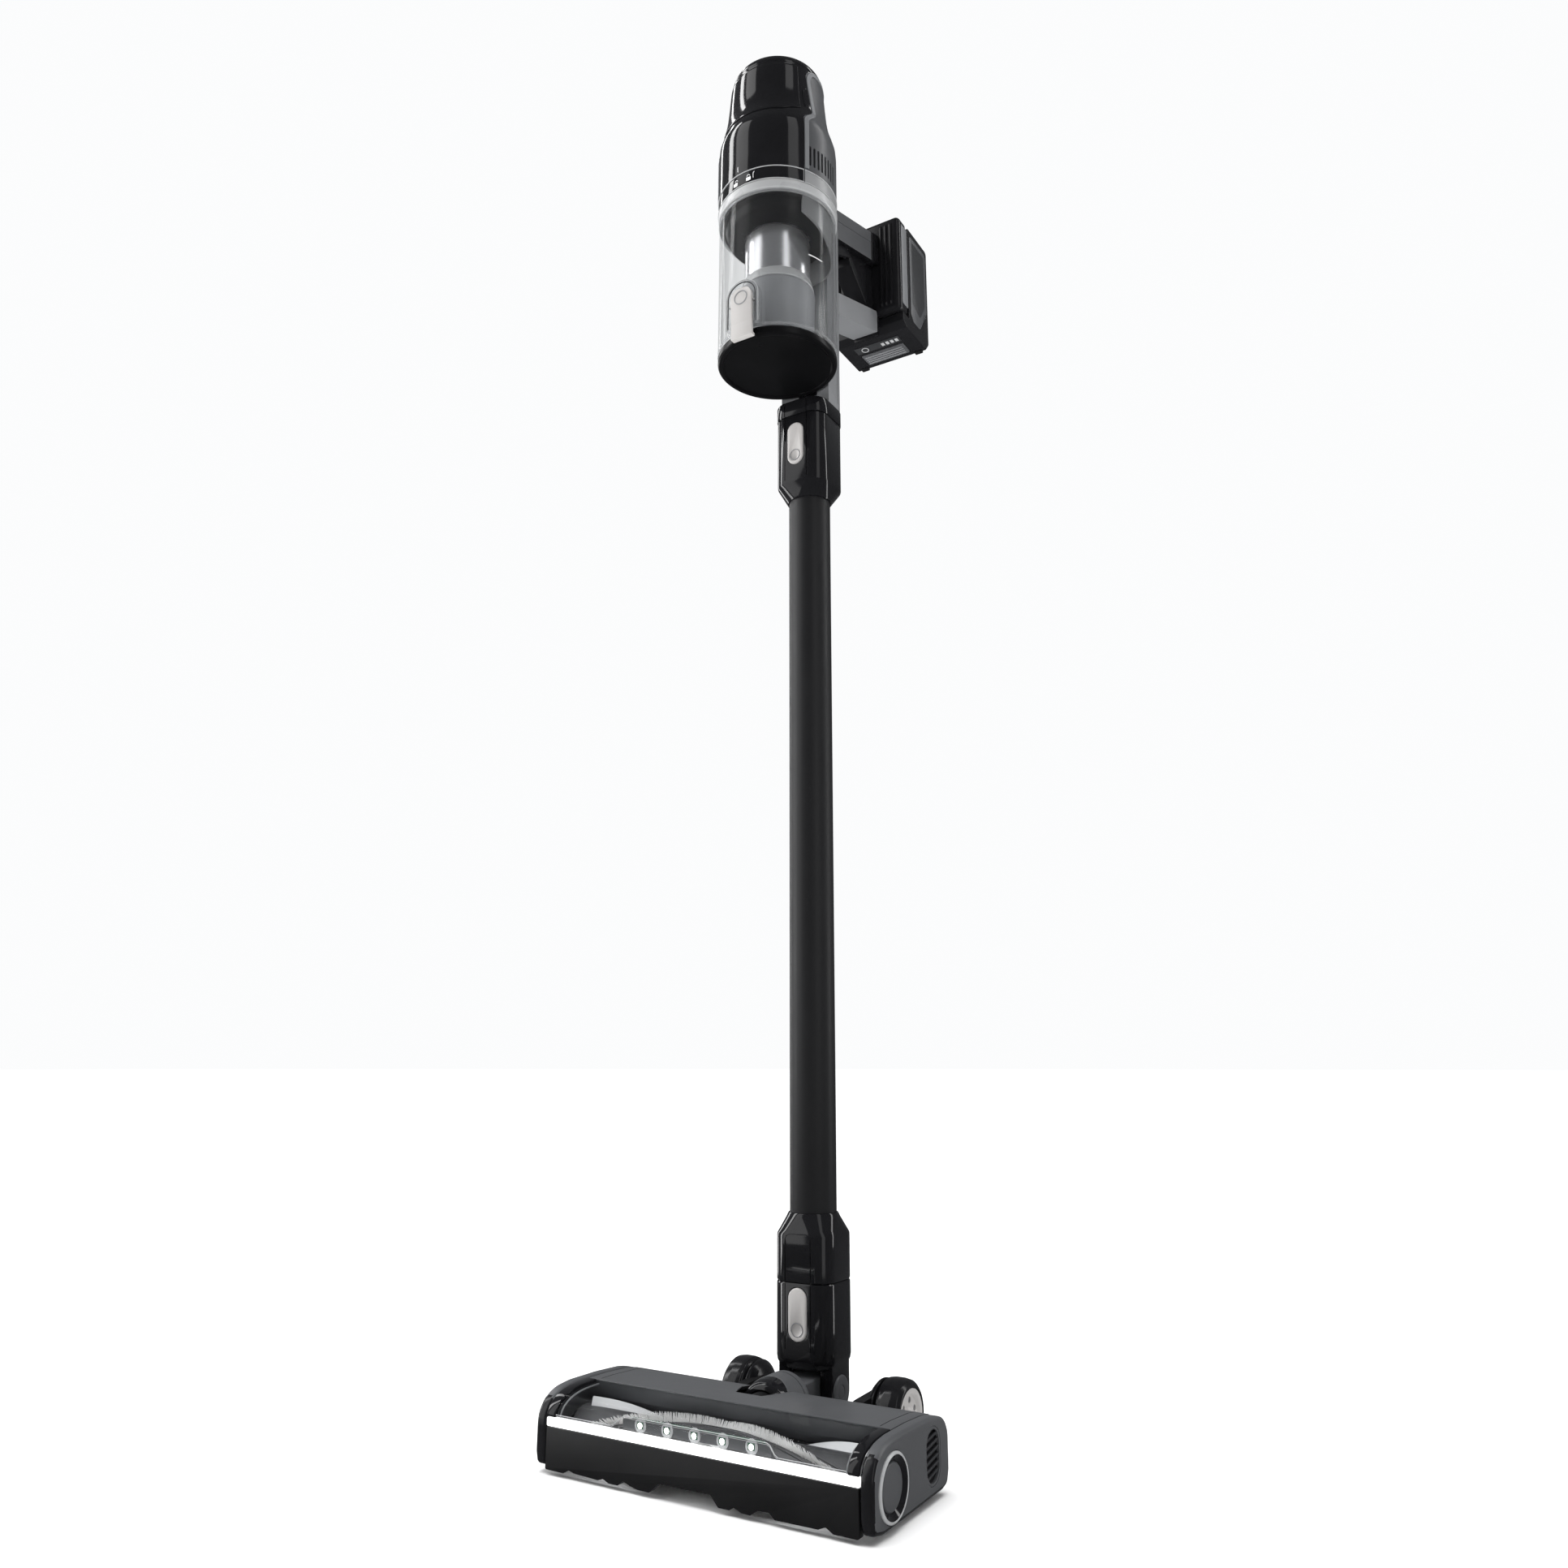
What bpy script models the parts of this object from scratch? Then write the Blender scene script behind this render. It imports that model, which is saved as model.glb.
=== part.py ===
"""Cordless stick vacuum cleaner, about 1.12 m tall, built from separate pieces.

Design coordinates are millimetres: x across the floor head, y to the rear, z up,
with the wand's centre line at x = 0, y = 0 and the floor at z = 0.  Everything is
placed SHIFT_Y further along y, so that the part's origin is under its middle.
"""
import bpy
import bmesh
import math
from mathutils import Matrix, Vector

# ---- driving dimensions, in millimetres ---------------------------------
MM = 0.001
SHIFT_Y = -11.7
HALF_FOOT = 117.0          # half width of the foot between its end caps
PIVOT_Z = 35.0             # height of the neck's two axes
BRUSH_Y, BRUSH_Z = -128.0, 24.5
BRUSH_CORE_R, BRUSH_TIP_R = 13.5, 19.3
MOTOR_Y, MOTOR_Z = -85.0, 24.5
WHEEL_X, WHEEL_Y, WHEEL_R = 63.6, 8.0, 24.0
ROLLER_X, ROLLER_Y, ROLLER_R = 85.0, -97.0, 5.0
BARREL_R = 19.5
TUBE_R, TUBE_IN = 17.5, 16.2
COLLAR_H, COLLAR_ROUND = 23.5, 14.0
BIN_Y, BIN_R, BIN_WALL = -53.0, 50.0, 2.0
BIN_LO, BIN_HI = 838.0, 965.8
ARM_SLOPE = math.radians(18.2)
GRIP_HALF = 15.0
DOCK_Y0, DOCK_Y1 = 112.4, 132.0
PACK_Y1 = 178.0
PACK_Z0, PACK_Z1 = 961.0, 1077.0
SLED_Y0 = 118.6
GAP = 0.3

COLOURS = {
    "gloss_black": ((0.012, 0.012, 0.014), 0.12, 0.0, 1.0),
    "satin_grey": ((0.085, 0.088, 0.095), 0.42, 0.0, 1.0),
    "matte_black": ((0.022, 0.022, 0.024), 0.55, 0.0, 1.0),
    "wand_black": ((0.03, 0.03, 0.032), 0.38, 0.6, 1.0),
    "light_grey": ((0.42, 0.40, 0.39), 0.40, 0.0, 1.0),
    "mid_grey": ((0.19, 0.19, 0.20), 0.45, 0.0, 1.0),
    "clear": ((0.75, 0.78, 0.80), 0.05, 0.0, 0.25),
    "smoke": ((0.12, 0.12, 0.13), 0.06, 0.0, 0.45),
    "steel": ((0.60, 0.60, 0.62), 0.28, 1.0, 1.0),
    "strip": ((0.86, 0.88, 0.92), 0.20, 0.0, 1.0),
    "rubber": ((0.02, 0.02, 0.02), 0.75, 0.0, 1.0),
    "bristle": ((0.30, 0.29, 0.29), 0.80, 0.0, 1.0),
    "felt": ((0.62, 0.60, 0.55), 0.95, 0.0, 1.0),
    "board": ((0.02, 0.12, 0.06), 0.50, 0.0, 1.0),
}


# ---- scene and placing ---------------------------------------------------
for old in list(bpy.data.objects):
    bpy.data.objects.remove(old, do_unlink=True)
PARTS = bpy.data.collections.new("cordless_stick_vacuum")
TOOLS = bpy.data.collections.new("cutters")
bpy.context.scene.collection.children.link(PARTS)
bpy.context.scene.collection.children.link(TOOLS)
BODY = {}


def world(p):
    return Vector((p[0] * MM, (p[1] + SHIFT_Y) * MM, p[2] * MM))


def finish(name, bm, colour, at, smooth=True):
    """Turn a bmesh in design millimetres into an object whose origin is at `at`."""
    for v in bm.verts:
        v.co = (v.co - Vector(at)) * MM
    mesh = bpy.data.meshes.new(name)
    bm.to_mesh(mesh)
    bm.free()
    obj = bpy.data.objects.new(name, mesh)
    obj.location = world(at)
    if colour is None:
        TOOLS.objects.link(obj)
        obj.hide_render = True
        obj.display_type = "WIRE"
        return obj
    PARTS.objects.link(obj)
    base, rough, metal, alpha = COLOURS[colour]
    mat = bpy.data.materials.new("mat_" + name)
    mat.use_nodes = True
    bsdf = mat.node_tree.nodes["Principled BSDF"]
    bsdf.inputs["Base Color"].default_value = (*base, 1.0)
    bsdf.inputs["Roughness"].default_value = rough
    bsdf.inputs["Metallic"].default_value = metal
    bsdf.inputs["Alpha"].default_value = alpha
    mesh.materials.append(mat)
    if smooth:
        mesh.shade_smooth()
        mesh.set_sharp_from_angle(angle=math.radians(35))
    return obj


def bevel(obj, width, segments=2, angle=40):
    m = obj.modifiers.new("edges", "BEVEL")
    m.width = width * MM
    m.segments = segments
    m.limit_method = "ANGLE"
    m.angle_limit = math.radians(angle)
    m.use_clamp_overlap = True
    return obj


def boolean(obj, tool, how):
    m = obj.modifiers.new(how.lower(), "BOOLEAN")
    m.operation = how
    m.solver = "EXACT"
    m.object = tool
    return obj


def cut(obj, *tools):
    for tool in tools:
        boolean(obj, tool, "DIFFERENCE")
    return obj


def join(obj, *tools):
    for tool in tools:
        boolean(obj, tool, "UNION")
    return obj


# ---- shapes ---------------------------------------------------------------
def box(name, lo, hi, colour=None, round_=0.0, at=None, segments=2):
    bm = bmesh.new()
    bmesh.ops.create_cube(bm, size=1.0)
    size = [hi[i] - lo[i] for i in range(3)]
    mid = [(hi[i] + lo[i]) / 2 for i in range(3)]
    bmesh.ops.scale(bm, vec=size, verts=bm.verts)
    bmesh.ops.translate(bm, vec=mid, verts=bm.verts)
    obj = finish(name, bm, colour, at or mid)
    return bevel(obj, round_, segments) if round_ else obj


TURN = {"X": Matrix.Rotation(math.pi / 2, 3, "Y"),
        "Y": Matrix.Rotation(-math.pi / 2, 3, "X"),
        "Z": Matrix.Identity(3)}


def rod(name, axis, start, end, across, radius, colour=None, sides=24, at=None, round_=0.0):
    """A cylinder along `axis` from start to end; `across` is its centre in the other two."""
    bm = bmesh.new()
    bmesh.ops.create_cone(bm, cap_ends=True, segments=sides, radius1=radius,
                          radius2=radius, depth=end - start)
    bmesh.ops.rotate(bm, matrix=TURN[axis], verts=bm.verts)
    middle = (start + end) / 2
    mid = {"X": (middle, across[0], across[1]), "Y": (across[0], middle, across[1]),
           "Z": (across[0], across[1], middle)}[axis]
    bmesh.ops.translate(bm, vec=mid, verts=bm.verts)
    obj = finish(name, bm, colour, at or mid)
    return bevel(obj, round_, 2) if round_ else obj


def prism(name, axis, lo, hi, outline, colour=None, at=None, round_=0.0, segments=2):
    """A flat outline, extruded along `axis` from lo to hi.

    The outline's pairs are (y, z) for X, (x, z) for Y and (x, y) for Z."""
    def point(u, v, w):
        return {"X": (w, u, v), "Y": (u, w, v), "Z": (u, v, w)}[axis]
    bm = bmesh.new()
    face = bm.faces.new([bm.verts.new(point(u, v, lo)) for u, v in outline])
    grown = bmesh.ops.extrude_face_region(bm, geom=[face])
    moved = [g for g in grown["geom"] if isinstance(g, bmesh.types.BMVert)]
    bmesh.ops.translate(bm, vec=Vector(point(0, 0, hi)) - Vector(point(0, 0, lo)), verts=moved)
    bmesh.ops.recalc_face_normals(bm, faces=bm.faces)
    us = [p[0] for p in outline]
    vs = [p[1] for p in outline]
    mid = point((min(us) + max(us)) / 2, (min(vs) + max(vs)) / 2, (lo + hi) / 2)
    obj = finish(name, bm, colour, at or mid)
    return bevel(obj, round_, segments) if round_ else obj


def turned(name, axis, centre, profile, colour=None, steps=40):
    """A Screw of a (radius, along) profile about `axis` through `centre`.

    A closed profile is turned into a ring; one that starts and ends at radius 0 is solid."""
    solid = profile[0][0] == 0 and profile[-1][0] == 0
    area = sum(a[0] * b[1] - b[0] * a[1] for a, b in zip(profile, profile[1:] + profile[:1]))
    pts = profile if area < 0 else profile[::-1]
    bm = bmesh.new()
    verts = [bm.verts.new(Vector((r, 0.0, z)) * MM) for r, z in pts]
    count = len(verts)
    for i in range(count - 1 if solid else count):
        bm.edges.new((verts[i], verts[(i + 1) % count]))
    mesh_at = Vector(centre)
    for v in bm.verts:
        v.co = v.co / MM + mesh_at
    obj = finish(name, bm, colour, centre, smooth=False)
    obj.rotation_euler = {"X": (0, math.pi / 2, 0), "Y": (-math.pi / 2, 0, 0), "Z": (0, 0, 0)}[axis]
    m = obj.modifiers.new("turn", "SCREW")
    m.axis = "Z"
    m.angle = 2 * math.pi
    m.steps = m.render_steps = steps
    m.use_merge_vertices = True
    m.merge_threshold = 0.00001
    m.use_smooth_shade = False
    return obj


def rounded_square(half, corner, per=4):
    """Outline of a square with round corners, `per` segments a corner."""
    pts = []
    for k in range(4):
        a0 = math.pi / 2 * k
        cx = (half - corner) * (1 if k in (0, 3) else -1)
        cy = (half - corner) * (1 if k in (0, 1) else -1)
        for i in range(per + 1):
            a = a0 + math.pi / 2 * i / per
            pts.append((cx + corner * math.cos(a), cy + corner * math.sin(a)))
    return pts


def loft(name, sections, colour=None, at=None):
    """A skin through sections (z, half, corner) of a rounded square; a full corner is a circle."""
    bm = bmesh.new()
    rings = []
    for z, half, corner in sections:
        rings.append([bm.verts.new((x, y, z)) for x, y in rounded_square(half, min(corner, half - 0.02))])
    n = len(rings[0])
    for a, b in zip(rings, rings[1:]):
        for i in range(n):
            j = (i + 1) % n
            bm.faces.new((a[i], a[j], b[j], b[i]))
    bm.faces.new(rings[0][::-1])
    bm.faces.new(rings[-1])
    bmesh.ops.recalc_face_normals(bm, faces=bm.faces)
    zs = [s[0] for s in sections]
    return finish(name, bm, colour, at or (0, 0, (zs[0] + zs[-1]) / 2))


def stadium(cx, cy, wide, tall, per=6):
    """Outline of a pill: straight sides and round ends, long along the second axis."""
    r = wide / 2
    pts = []
    for k, s in ((0, 1), (1, -1)):
        for i in range(per + 1):
            a = math.pi * (k + i / per)
            pts.append((cx + r * math.cos(a), cy + s * (tall / 2 - r) + r * math.sin(a)))
    return pts


def many_boxes(name, boxes):
    """One cutter of several separate boxes, each (centre, size, rotation about z in degrees, about point)."""
    bm = bmesh.new()
    for centre, size, turn, about in boxes:
        made = bmesh.ops.create_cube(bm, size=1.0)["verts"]
        bmesh.ops.scale(bm, vec=size, verts=made)
        bmesh.ops.translate(bm, vec=centre, verts=made)
        if turn:
            bmesh.ops.rotate(bm, cent=about, matrix=Matrix.Rotation(math.radians(turn), 3, "Z"), verts=made)
    return finish(name, bm, None, (0, 0, 0))


def body(name, at, parent=None):
    e = bpy.data.objects.new("axis_" + name, None)
    e.empty_display_size = 0.03
    PARTS.objects.link(e)
    e.location = world(at)
    BODY[name] = (e, at, parent)
    return name


def wedge(name, a0, a1, reach, z0, z1):
    """Prism over the azimuths a0..a1, in degrees from the front towards +x, about the bin's axis."""
    steps = max(2, int(abs(a1 - a0) / 15))
    pts = [(0.0, BIN_Y)]
    for i in range(steps + 1):
        a = math.radians(a0 + (a1 - a0) * i / steps)
        pts.append((reach * math.sin(a), BIN_Y - reach * math.cos(a)))
    return prism(name, "Z", z0, z1, pts)


# ---- foot: chassis ----------------------------------------------------------
foot = []
base = box("foot_chassis", (-115.5, -106.3, 5), (115.5, -50, 33), "matte_black", 1.5)
for side in (-1, 1):
    arm = [(-58, 12), (-58, 32.8), (-48.8, 32.8), (-20, 37), (10, 38)]
    arm += [(8 + 15 * math.sin(math.radians(a)), 24 + 14 * math.cos(math.radians(a))) for a in (30, 60, 90, 120, 150, 180)]
    arm += [(-20, 10)]
    join(base, prism("arm_tool_%d" % (side > 0), "X", *sorted((side * 43.5, side * 51.5)), arm))
cut(base,
    box("tray_cutter", (-113, -104, 11.5), (113, -52.5, 60)),
    rod("barrel_cutter", "Y", -76, -40, (0, PIVOT_Z), BARREL_R + 1.3, sides=32),
    rod("duct_cutter", "Y", -115, -100, (0, PIVOT_Z), 13.0, sides=32),
    many_boxes("roller_cutter",
               [((s * ROLLER_X, ROLLER_Y, 5.3), (13.4, 12.6, 10.6), 0, None) for s in (-1, 1)]),
    many_boxes("stub_cutter",
               [((s * (ROLLER_X + t * 8.5), ROLLER_Y, 3.4), (5.0, 3.8, 6.9), 0, None) for s in (-1, 1) for t in (-1, 1)]),
    box("belt_slot_cutter", (-112.4, -110, 12.5), (-105.9, -103, 40)),
    rod("axle_cutter", "X", -60, 60, (WHEEL_Y, WHEEL_R), 4.3, sides=20))
foot.append(base)

# two shells: the top cover with the round cut-out for the rolling joint, and the clear window
cover_line = [(-112, 50.2), (-95, 50.0), (-70, 48.6), (-57, 46.6), (-51.5, 43.6), (-49.8, 38.5), (-49.8, 33.4),
              (-106.3, 33.4), (-112, 40)]
cover = prism("foot_top_cover", "X", -HALF_FOOT + 0.2, HALF_FOOT - 0.2, cover_line, "satin_grey", round_=0.8, segments=1)
cut(cover,
    prism("cover_cavity_cutter", "X", -114.2, 114.2, [(-104.2, 20), (-104.2, 47.9), (-70, 46.4), (-58, 44.4), (-52.4, 41.5), (-52.4, 20)]),
    rod("dome_cutter", "Y", -76, -40, (0, PIVOT_Z), BARREL_R + 1.3, sides=32),
    rod("duct_cutter_2", "Y", -115, -74, (0, PIVOT_Z), 12.85, sides=32))
foot.append(cover)

window_line = [(-153.7, 35.1), (-153.2, 37.6), (-151.9, 40.4), (-149.3, 43.5), (-145.2, 46.2), (-139.5, 48.4),
               (-132, 49.8), (-123, 50.3), (-112.3, 50.4)]
inner_line = [(-112.3, 48.2), (-123, 48.1), (-131.5, 47.6), (-138.5, 46.3), (-143.8, 44.3), (-147.5, 41.9),
              (-149.9, 39.3), (-151.0, 36.9), (-151.5, 35.1)]
window = prism("brush_window", "X", -HALF_FOOT + 0.2, HALF_FOOT - 0.2, window_line + inner_line, "smoke")
cut(window, box("ledge_cutter", (-58.4, -160, 30), (58.4, -140, 42.4)))
foot.append(window)
foot.append(prism("lamp_lens", "X", -58, 58, [(-151.3, 35.1), (-154.6, 35.1), (-154.4, 38.4), (-153.2, 41.9), (-150.3, 41.9), (-151.1, 38.6)], "clear", round_=0.4, segments=1))
board = box("lamp_board", (-50, -147.9, 36), (50, -146.4, 42), "board")
join(board, many_boxes("lamp_tool", [((21.0 * k, -148.9, 39.0), (5.0, 2.6, 4.0), 0, None) for k in range(-2, 3)]))
foot.append(board)
foot.append(box("light_strip", (-HALF_FOOT + 0.4, -154.0, 29.3), (HALF_FOOT - 0.4, -150.6, 34.8), "strip", 0.8))

lip = prism("front_lip", "X", -HALF_FOOT + 0.4, HALF_FOOT - 0.4,
            [(-148.3, 29.0), (-152.8, 29.0), (-153.9, 26.0), (-154.1, 9.0), (-152.8, 4.6), (-150.4, 3.0), (-148.3, 3.0)],
            "matte_black", round_=0.4, segments=1)
cut(lip, many_boxes("notch_cutter", [((k * 19.0, -151.0, 3.0), (9.5, 12.0, 13.0), 0, None) for k in range(-5, 6)]))
foot.append(lip)

cap_line = [(-154.2, 30), (-153.8, 35), (-151.4, 41), (-145.5, 46.3), (-136, 49.8), (-124, 50.9), (-95, 50.6), (-70, 49.2),
            (-56, 47), (-50, 43.5), (-47.6, 38), (-47.6, 12), (-50, 6.5), (-58, 4.2), (-110, 3.4), (-140, 3.0), (-149, 3.6),
            (-152.6, 6.4), (-154.2, 12)]
caps = {}
for name, s in (("left", -1), ("right", 1)):
    cap = prism("end_cap_" + name, "X", *sorted((s * HALF_FOOT, s * 125.8)), cap_line, "satin_grey", round_=2.4, segments=2)
    cut(cap,
        prism("vent_recess_%s" % name, "X", *sorted((s * 122.8, s * 130)), stadium(-72, 27, 22, 34)),
        prism("vent_hole_%s" % name, "X", *sorted((s * 110, s * 130)), stadium(-72, 27, 14, 26)),
        rod("bearing_cutter_%s" % name, "X", *sorted((s * 110, s * 121.5)), (BRUSH_Y, BRUSH_Z), 4.4, sides=20))
    if s > 0:
        cut(cap, rod("release_recess", "X", 122.9, 130, (BRUSH_Y, BRUSH_Z), 19.4, sides=32))
    else:
        join(cap, rod("bearing_boss_tool", "X", -127.5, -124, (BRUSH_Y, BRUSH_Z), 18.0, sides=32))
    caps[name] = cap
    foot.append(cap)
    grille = prism("side_vent_" + name, "X", *sorted((s * 123.1, s * 125.7)), stadium(-72, 27, 21.4, 33.4), "matte_black")
    cut(grille, many_boxes("louvre_cutter_%s" % name, [((s * 124.4, -72, 16.5 + 4.2 * k), (12, 13.5, 1.9), 0, None) for k in range(6)]))
    foot.append(grille)

release = turned("brush_release_cap", "X", (126.0, BRUSH_Y, BRUSH_Z),
                 [(0, 1.5), (17.6, 1.5), (19.0, 0.2), (19.0, -2.8), (0, -2.8)], "satin_grey", 40)
cut(release, box("coin_cutter", (126.2, BRUSH_Y - 1.4, BRUSH_Z - 11), (130, BRUSH_Y + 1.4, BRUSH_Z + 11)))

# brush, belt and motor
def brush_section(x, turn, fins=5):
    pts = []
    for k in range(fins):
        a0 = 2 * math.pi * k / fins + turn
        for da, r in ((-0.12, BRUSH_TIP_R), (0.12, BRUSH_TIP_R), (0.30, BRUSH_CORE_R), (0.95, BRUSH_CORE_R)):
            pts.append((x, BRUSH_Y + r * math.cos(a0 + da), BRUSH_Z + r * math.sin(a0 + da)))
    return pts


bm = bmesh.new()
rings = []
for i in range(11):
    t = i / 10.0
    x = -104.5 + 216.5 * t
    rings.append([bm.verts.new(p) for p in brush_section(x, 1.9 * abs(2 * t - 1))])
count = len(rings[0])
for a, b in zip(rings, rings[1:]):
    for i in range(count):
        bm.faces.new((a[i], b[i], b[(i + 1) % count], a[(i + 1) % count]))
bm.faces.new(rings[0])
bm.faces.new(rings[-1][::-1])
bmesh.ops.recalc_face_normals(bm, faces=bm.faces)
brush = finish("brush_roll", bm, "bristle", (0, BRUSH_Y, BRUSH_Z))
join(brush, rod("brush_shaft_tool", "X", -121.0, 121.0, (BRUSH_Y, BRUSH_Z), 4.0, sides=20))
join(brush, turned("brush_pulley_tool", "X", (-109.2, BRUSH_Y, BRUSH_Z),
                   [(3.0, 2.8), (9.6, 2.8), (9.6, 2.2), (8.6, 2.2), (8.6, -2.2), (9.6, -2.2), (9.6, -2.8), (3.0, -2.8)], None, 28))
motor_pulley = turned("motor_pulley", "X", (-109.2, MOTOR_Y, MOTOR_Z),
                      [(1.2, 2.8), (5.4, 2.8), (5.4, 2.2), (4.4, 2.2), (4.4, -2.2), (5.4, -2.2), (5.4, -2.8), (1.2, -2.8)], "steel", 20)
join(motor_pulley, rod("motor_shaft_tool", "X", -112.4, -60, (MOTOR_Y, MOTOR_Z), 1.8, sides=14))
motor = turned("brush_motor", "X", (-75, MOTOR_Y, MOTOR_Z),
               [(2.1, -24), (6, -24), (6, -21), (12.0, -20), (12.0, 30), (10.5, 32), (2.1, 32)], "steel", 28)
foot.append(motor)


def belt_line(r0, r1, per=7):
    """Outline of an open belt round the motor pulley (r0) and the brush pulley (r1)."""
    dist = BRUSH_Y - MOTOR_Y
    lean = math.asin((r1 - r0) / abs(dist))
    pts = []
    for i in range(per + 1):
        a = -math.pi / 2 + lean + (math.pi - 2 * lean) * i / per
        pts.append((MOTOR_Y + r0 * math.cos(a), MOTOR_Z + r0 * math.sin(a)))
    for i in range(per + 3):
        a = math.pi / 2 - lean + (math.pi + 2 * lean) * i / (per + 2)
        pts.append((BRUSH_Y + r1 * math.cos(a), BRUSH_Z + r1 * math.sin(a)))
    return pts


belt = prism("drive_belt", "X", -111.2, -107.2, belt_line(6.6, 10.9), "rubber")
cut(belt, prism("belt_cutter", "X", -115, -104, belt_line(4.75, 8.95)))
foot.append(belt)
foot.append(turned("suction_duct", "Y", (0, -84, PIVOT_Z), [(11.0, -22.0), (12.4, -22.0), (12.4, 24), (11.0, 24)], "matte_black", 32))

rollers = {}
for name, s in (("left", -1), ("right", 1)):
    rollers[name] = turned("front_roller_" + name, "X", (s * ROLLER_X, ROLLER_Y, ROLLER_R),
                           [(0, 8.8), (1.6, 8.8), (1.6, 6.2), (4.2, 6.2), (5.0, 5.2), (5.0, -5.2), (4.2, -6.2), (1.6, -6.2), (1.6, -8.8), (0, -8.8)],
                           "matte_black", 14)
wheels = {}
for name, s in (("left", -1), ("right", 1)):
    c = (s * WHEEL_X, WHEEL_Y, WHEEL_R)
    tyre = turned("wheel_tyre_" + name, "X", c,
                  [(18.3, 9.6), (22.0, 9.6), (24.0, 7.2), (24.0, -7.2), (22.0, -9.6), (18.3, -9.6)], "rubber", 28)
    hub = turned("wheel_hub_" + name, "X", c,
                 [(0, 9.2 * s), (5.8, 9.0 * s), (7.0, 6.5 * s), (14.5, 6.5 * s), (16, 9.8 * s), (18.0, 9.8 * s),
                  (18.0, -9.0 * s), (15.0, -9.0 * s), (14, -2 * s), (8.5, -2 * s), (8, -9.6 * s), (3.9, -9.6 * s), (3.9, -22.5 * s), (0, -22.5 * s)],
                 "light_grey", 16)
    wheels[name] = (tyre, hub)

# ---- neck: rolling barrel, then the pitching tube -----------------------------
barrel = turned("roll_barrel", "Y", (0, -54.5, PIVOT_Z),
                [(13.0, -16.5), (18.4, -16.5), (BARREL_R, -15.4), (BARREL_R, 15.4), (18.4, 16.5), (13.0, 16.5)], "matte_black", 24)
join(barrel,
     box("knuckle_tool", (-12.3, -46, 24.5), (12.3, 0, 45.5)),
     rod("knuckle_round_tool", "X", -12.3, 12.3, (0, PIVOT_Z), 12.6, sides=24),
     rod("barrel_back_tool", "Y", -44, -38.3, (0, PIVOT_Z), 16.0, sides=20))
cut(barrel,
    rod("barrel_bore_cutter", "Y", -80, -45.5, (0, PIVOT_Z), 13.0, sides=24),
    rod("knuckle_bore_cutter", "Y", -60, -1.0, (0, PIVOT_Z), 7.6, sides=12),
    rod("knuckle_up_cutter", "Z", 34, 70, (0, 0), 7.4, sides=12),
    rod("pin_clear_cutter", "X", -20, -8.2, (0, PIVOT_Z), 4.4, sides=14),
    rod("pin_clear_cutter_2", "X", 8.2, 20, (0, PIVOT_Z), 4.4, sides=14))

wand = []
neck = loft("neck_tube", [(50.5, 19.5, 13.0), (55.5, COLLAR_H, COLLAR_ROUND), (108.4, COLLAR_H, COLLAR_ROUND), (109.0, COLLAR_H - 0.6, COLLAR_ROUND)],
            "gloss_black", at=(0, 0, PIVOT_Z))
for s in (-1, 1):
    ear = [(14 * math.cos(math.radians(a)), PIVOT_Z + 14 * math.sin(math.radians(a))) for a in range(180, 361, 20)] + [(14.0, 60.0), (-14.0, 60.0)]
    join(neck, prism("ear_tool_%d" % (s > 0), "X", *sorted((s * 12.8, s * 21.6)), ear))
cut(neck,
    rod("neck_bore_cutter", "Z", 48.6, 120, (0, 0), 15.8, sides=32),
    rod("neck_pin_cutter", "X", -30, 30, (0, PIVOT_Z), 4.35, sides=16),
    prism("foot_button_cutter", "Y", -40, -17.7, stadium(0, 88, 15.7, 36.7)))
wand.append(neck)
for name, s in (("left", -1), ("right", 1)):
    wand.append(rod("neck_pin_" + name, "X", *sorted((s * 8.6, s * 21.5)), (0, PIVOT_Z), 4.0, "steel", 16))
foot_button = prism("foot_release_button", "Y", -24.8, -20.2, stadium(0, 88, 15, 36), "light_grey", round_=0.8)

# ---- wand ---------------------------------------------------------------------
lower = loft("wand_lower_collar", [(109.4, COLLAR_H - 0.6, COLLAR_ROUND), (110.0, COLLAR_H, COLLAR_ROUND), (141.5, COLLAR_H, COLLAR_ROUND),
                                   (144.5, 22.6, 15.0), (156.0, 18.9, 18.9)], "gloss_black")
cut(lower, rod("lower_bore_cutter", "Z", 100, 170, (0, 0), TUBE_R + 0.3, sides=32))
wand.append(lower)
wand.append(turned("wand_tube", "Z", (0, 0, 428.5), [(TUBE_R, 316.5), (TUBE_R, -316.5), (TUBE_IN, -316.5), (TUBE_IN, 316.5)], "wand_black", 32))
upper = loft("wand_upper_collar", [(729.0, 18.9, 18.9), (739.5, 22.6, 15.0), (742.0, COLLAR_H, COLLAR_ROUND), (802.4, COLLAR_H, COLLAR_ROUND),
                                   (803.0, COLLAR_H - 0.6, COLLAR_ROUND)], "gloss_black")
cut(upper,
    rod("upper_bore_cutter", "Z", 720, 746, (0, 0), TUBE_R + 0.3, sides=32),
    rod("upper_air_cutter", "Z", 740, 815, (0, 0), 15.8, sides=32),
    prism("wand_button_cutter", "Y", -40, -17.7, stadium(0, 776, 15.7, 38.7)))
wand.append(upper)
wand_button = prism("wand_release_button", "Y", -24.8, -20.2, stadium(0, 776, 15, 38), "light_grey", round_=0.8)

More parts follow.
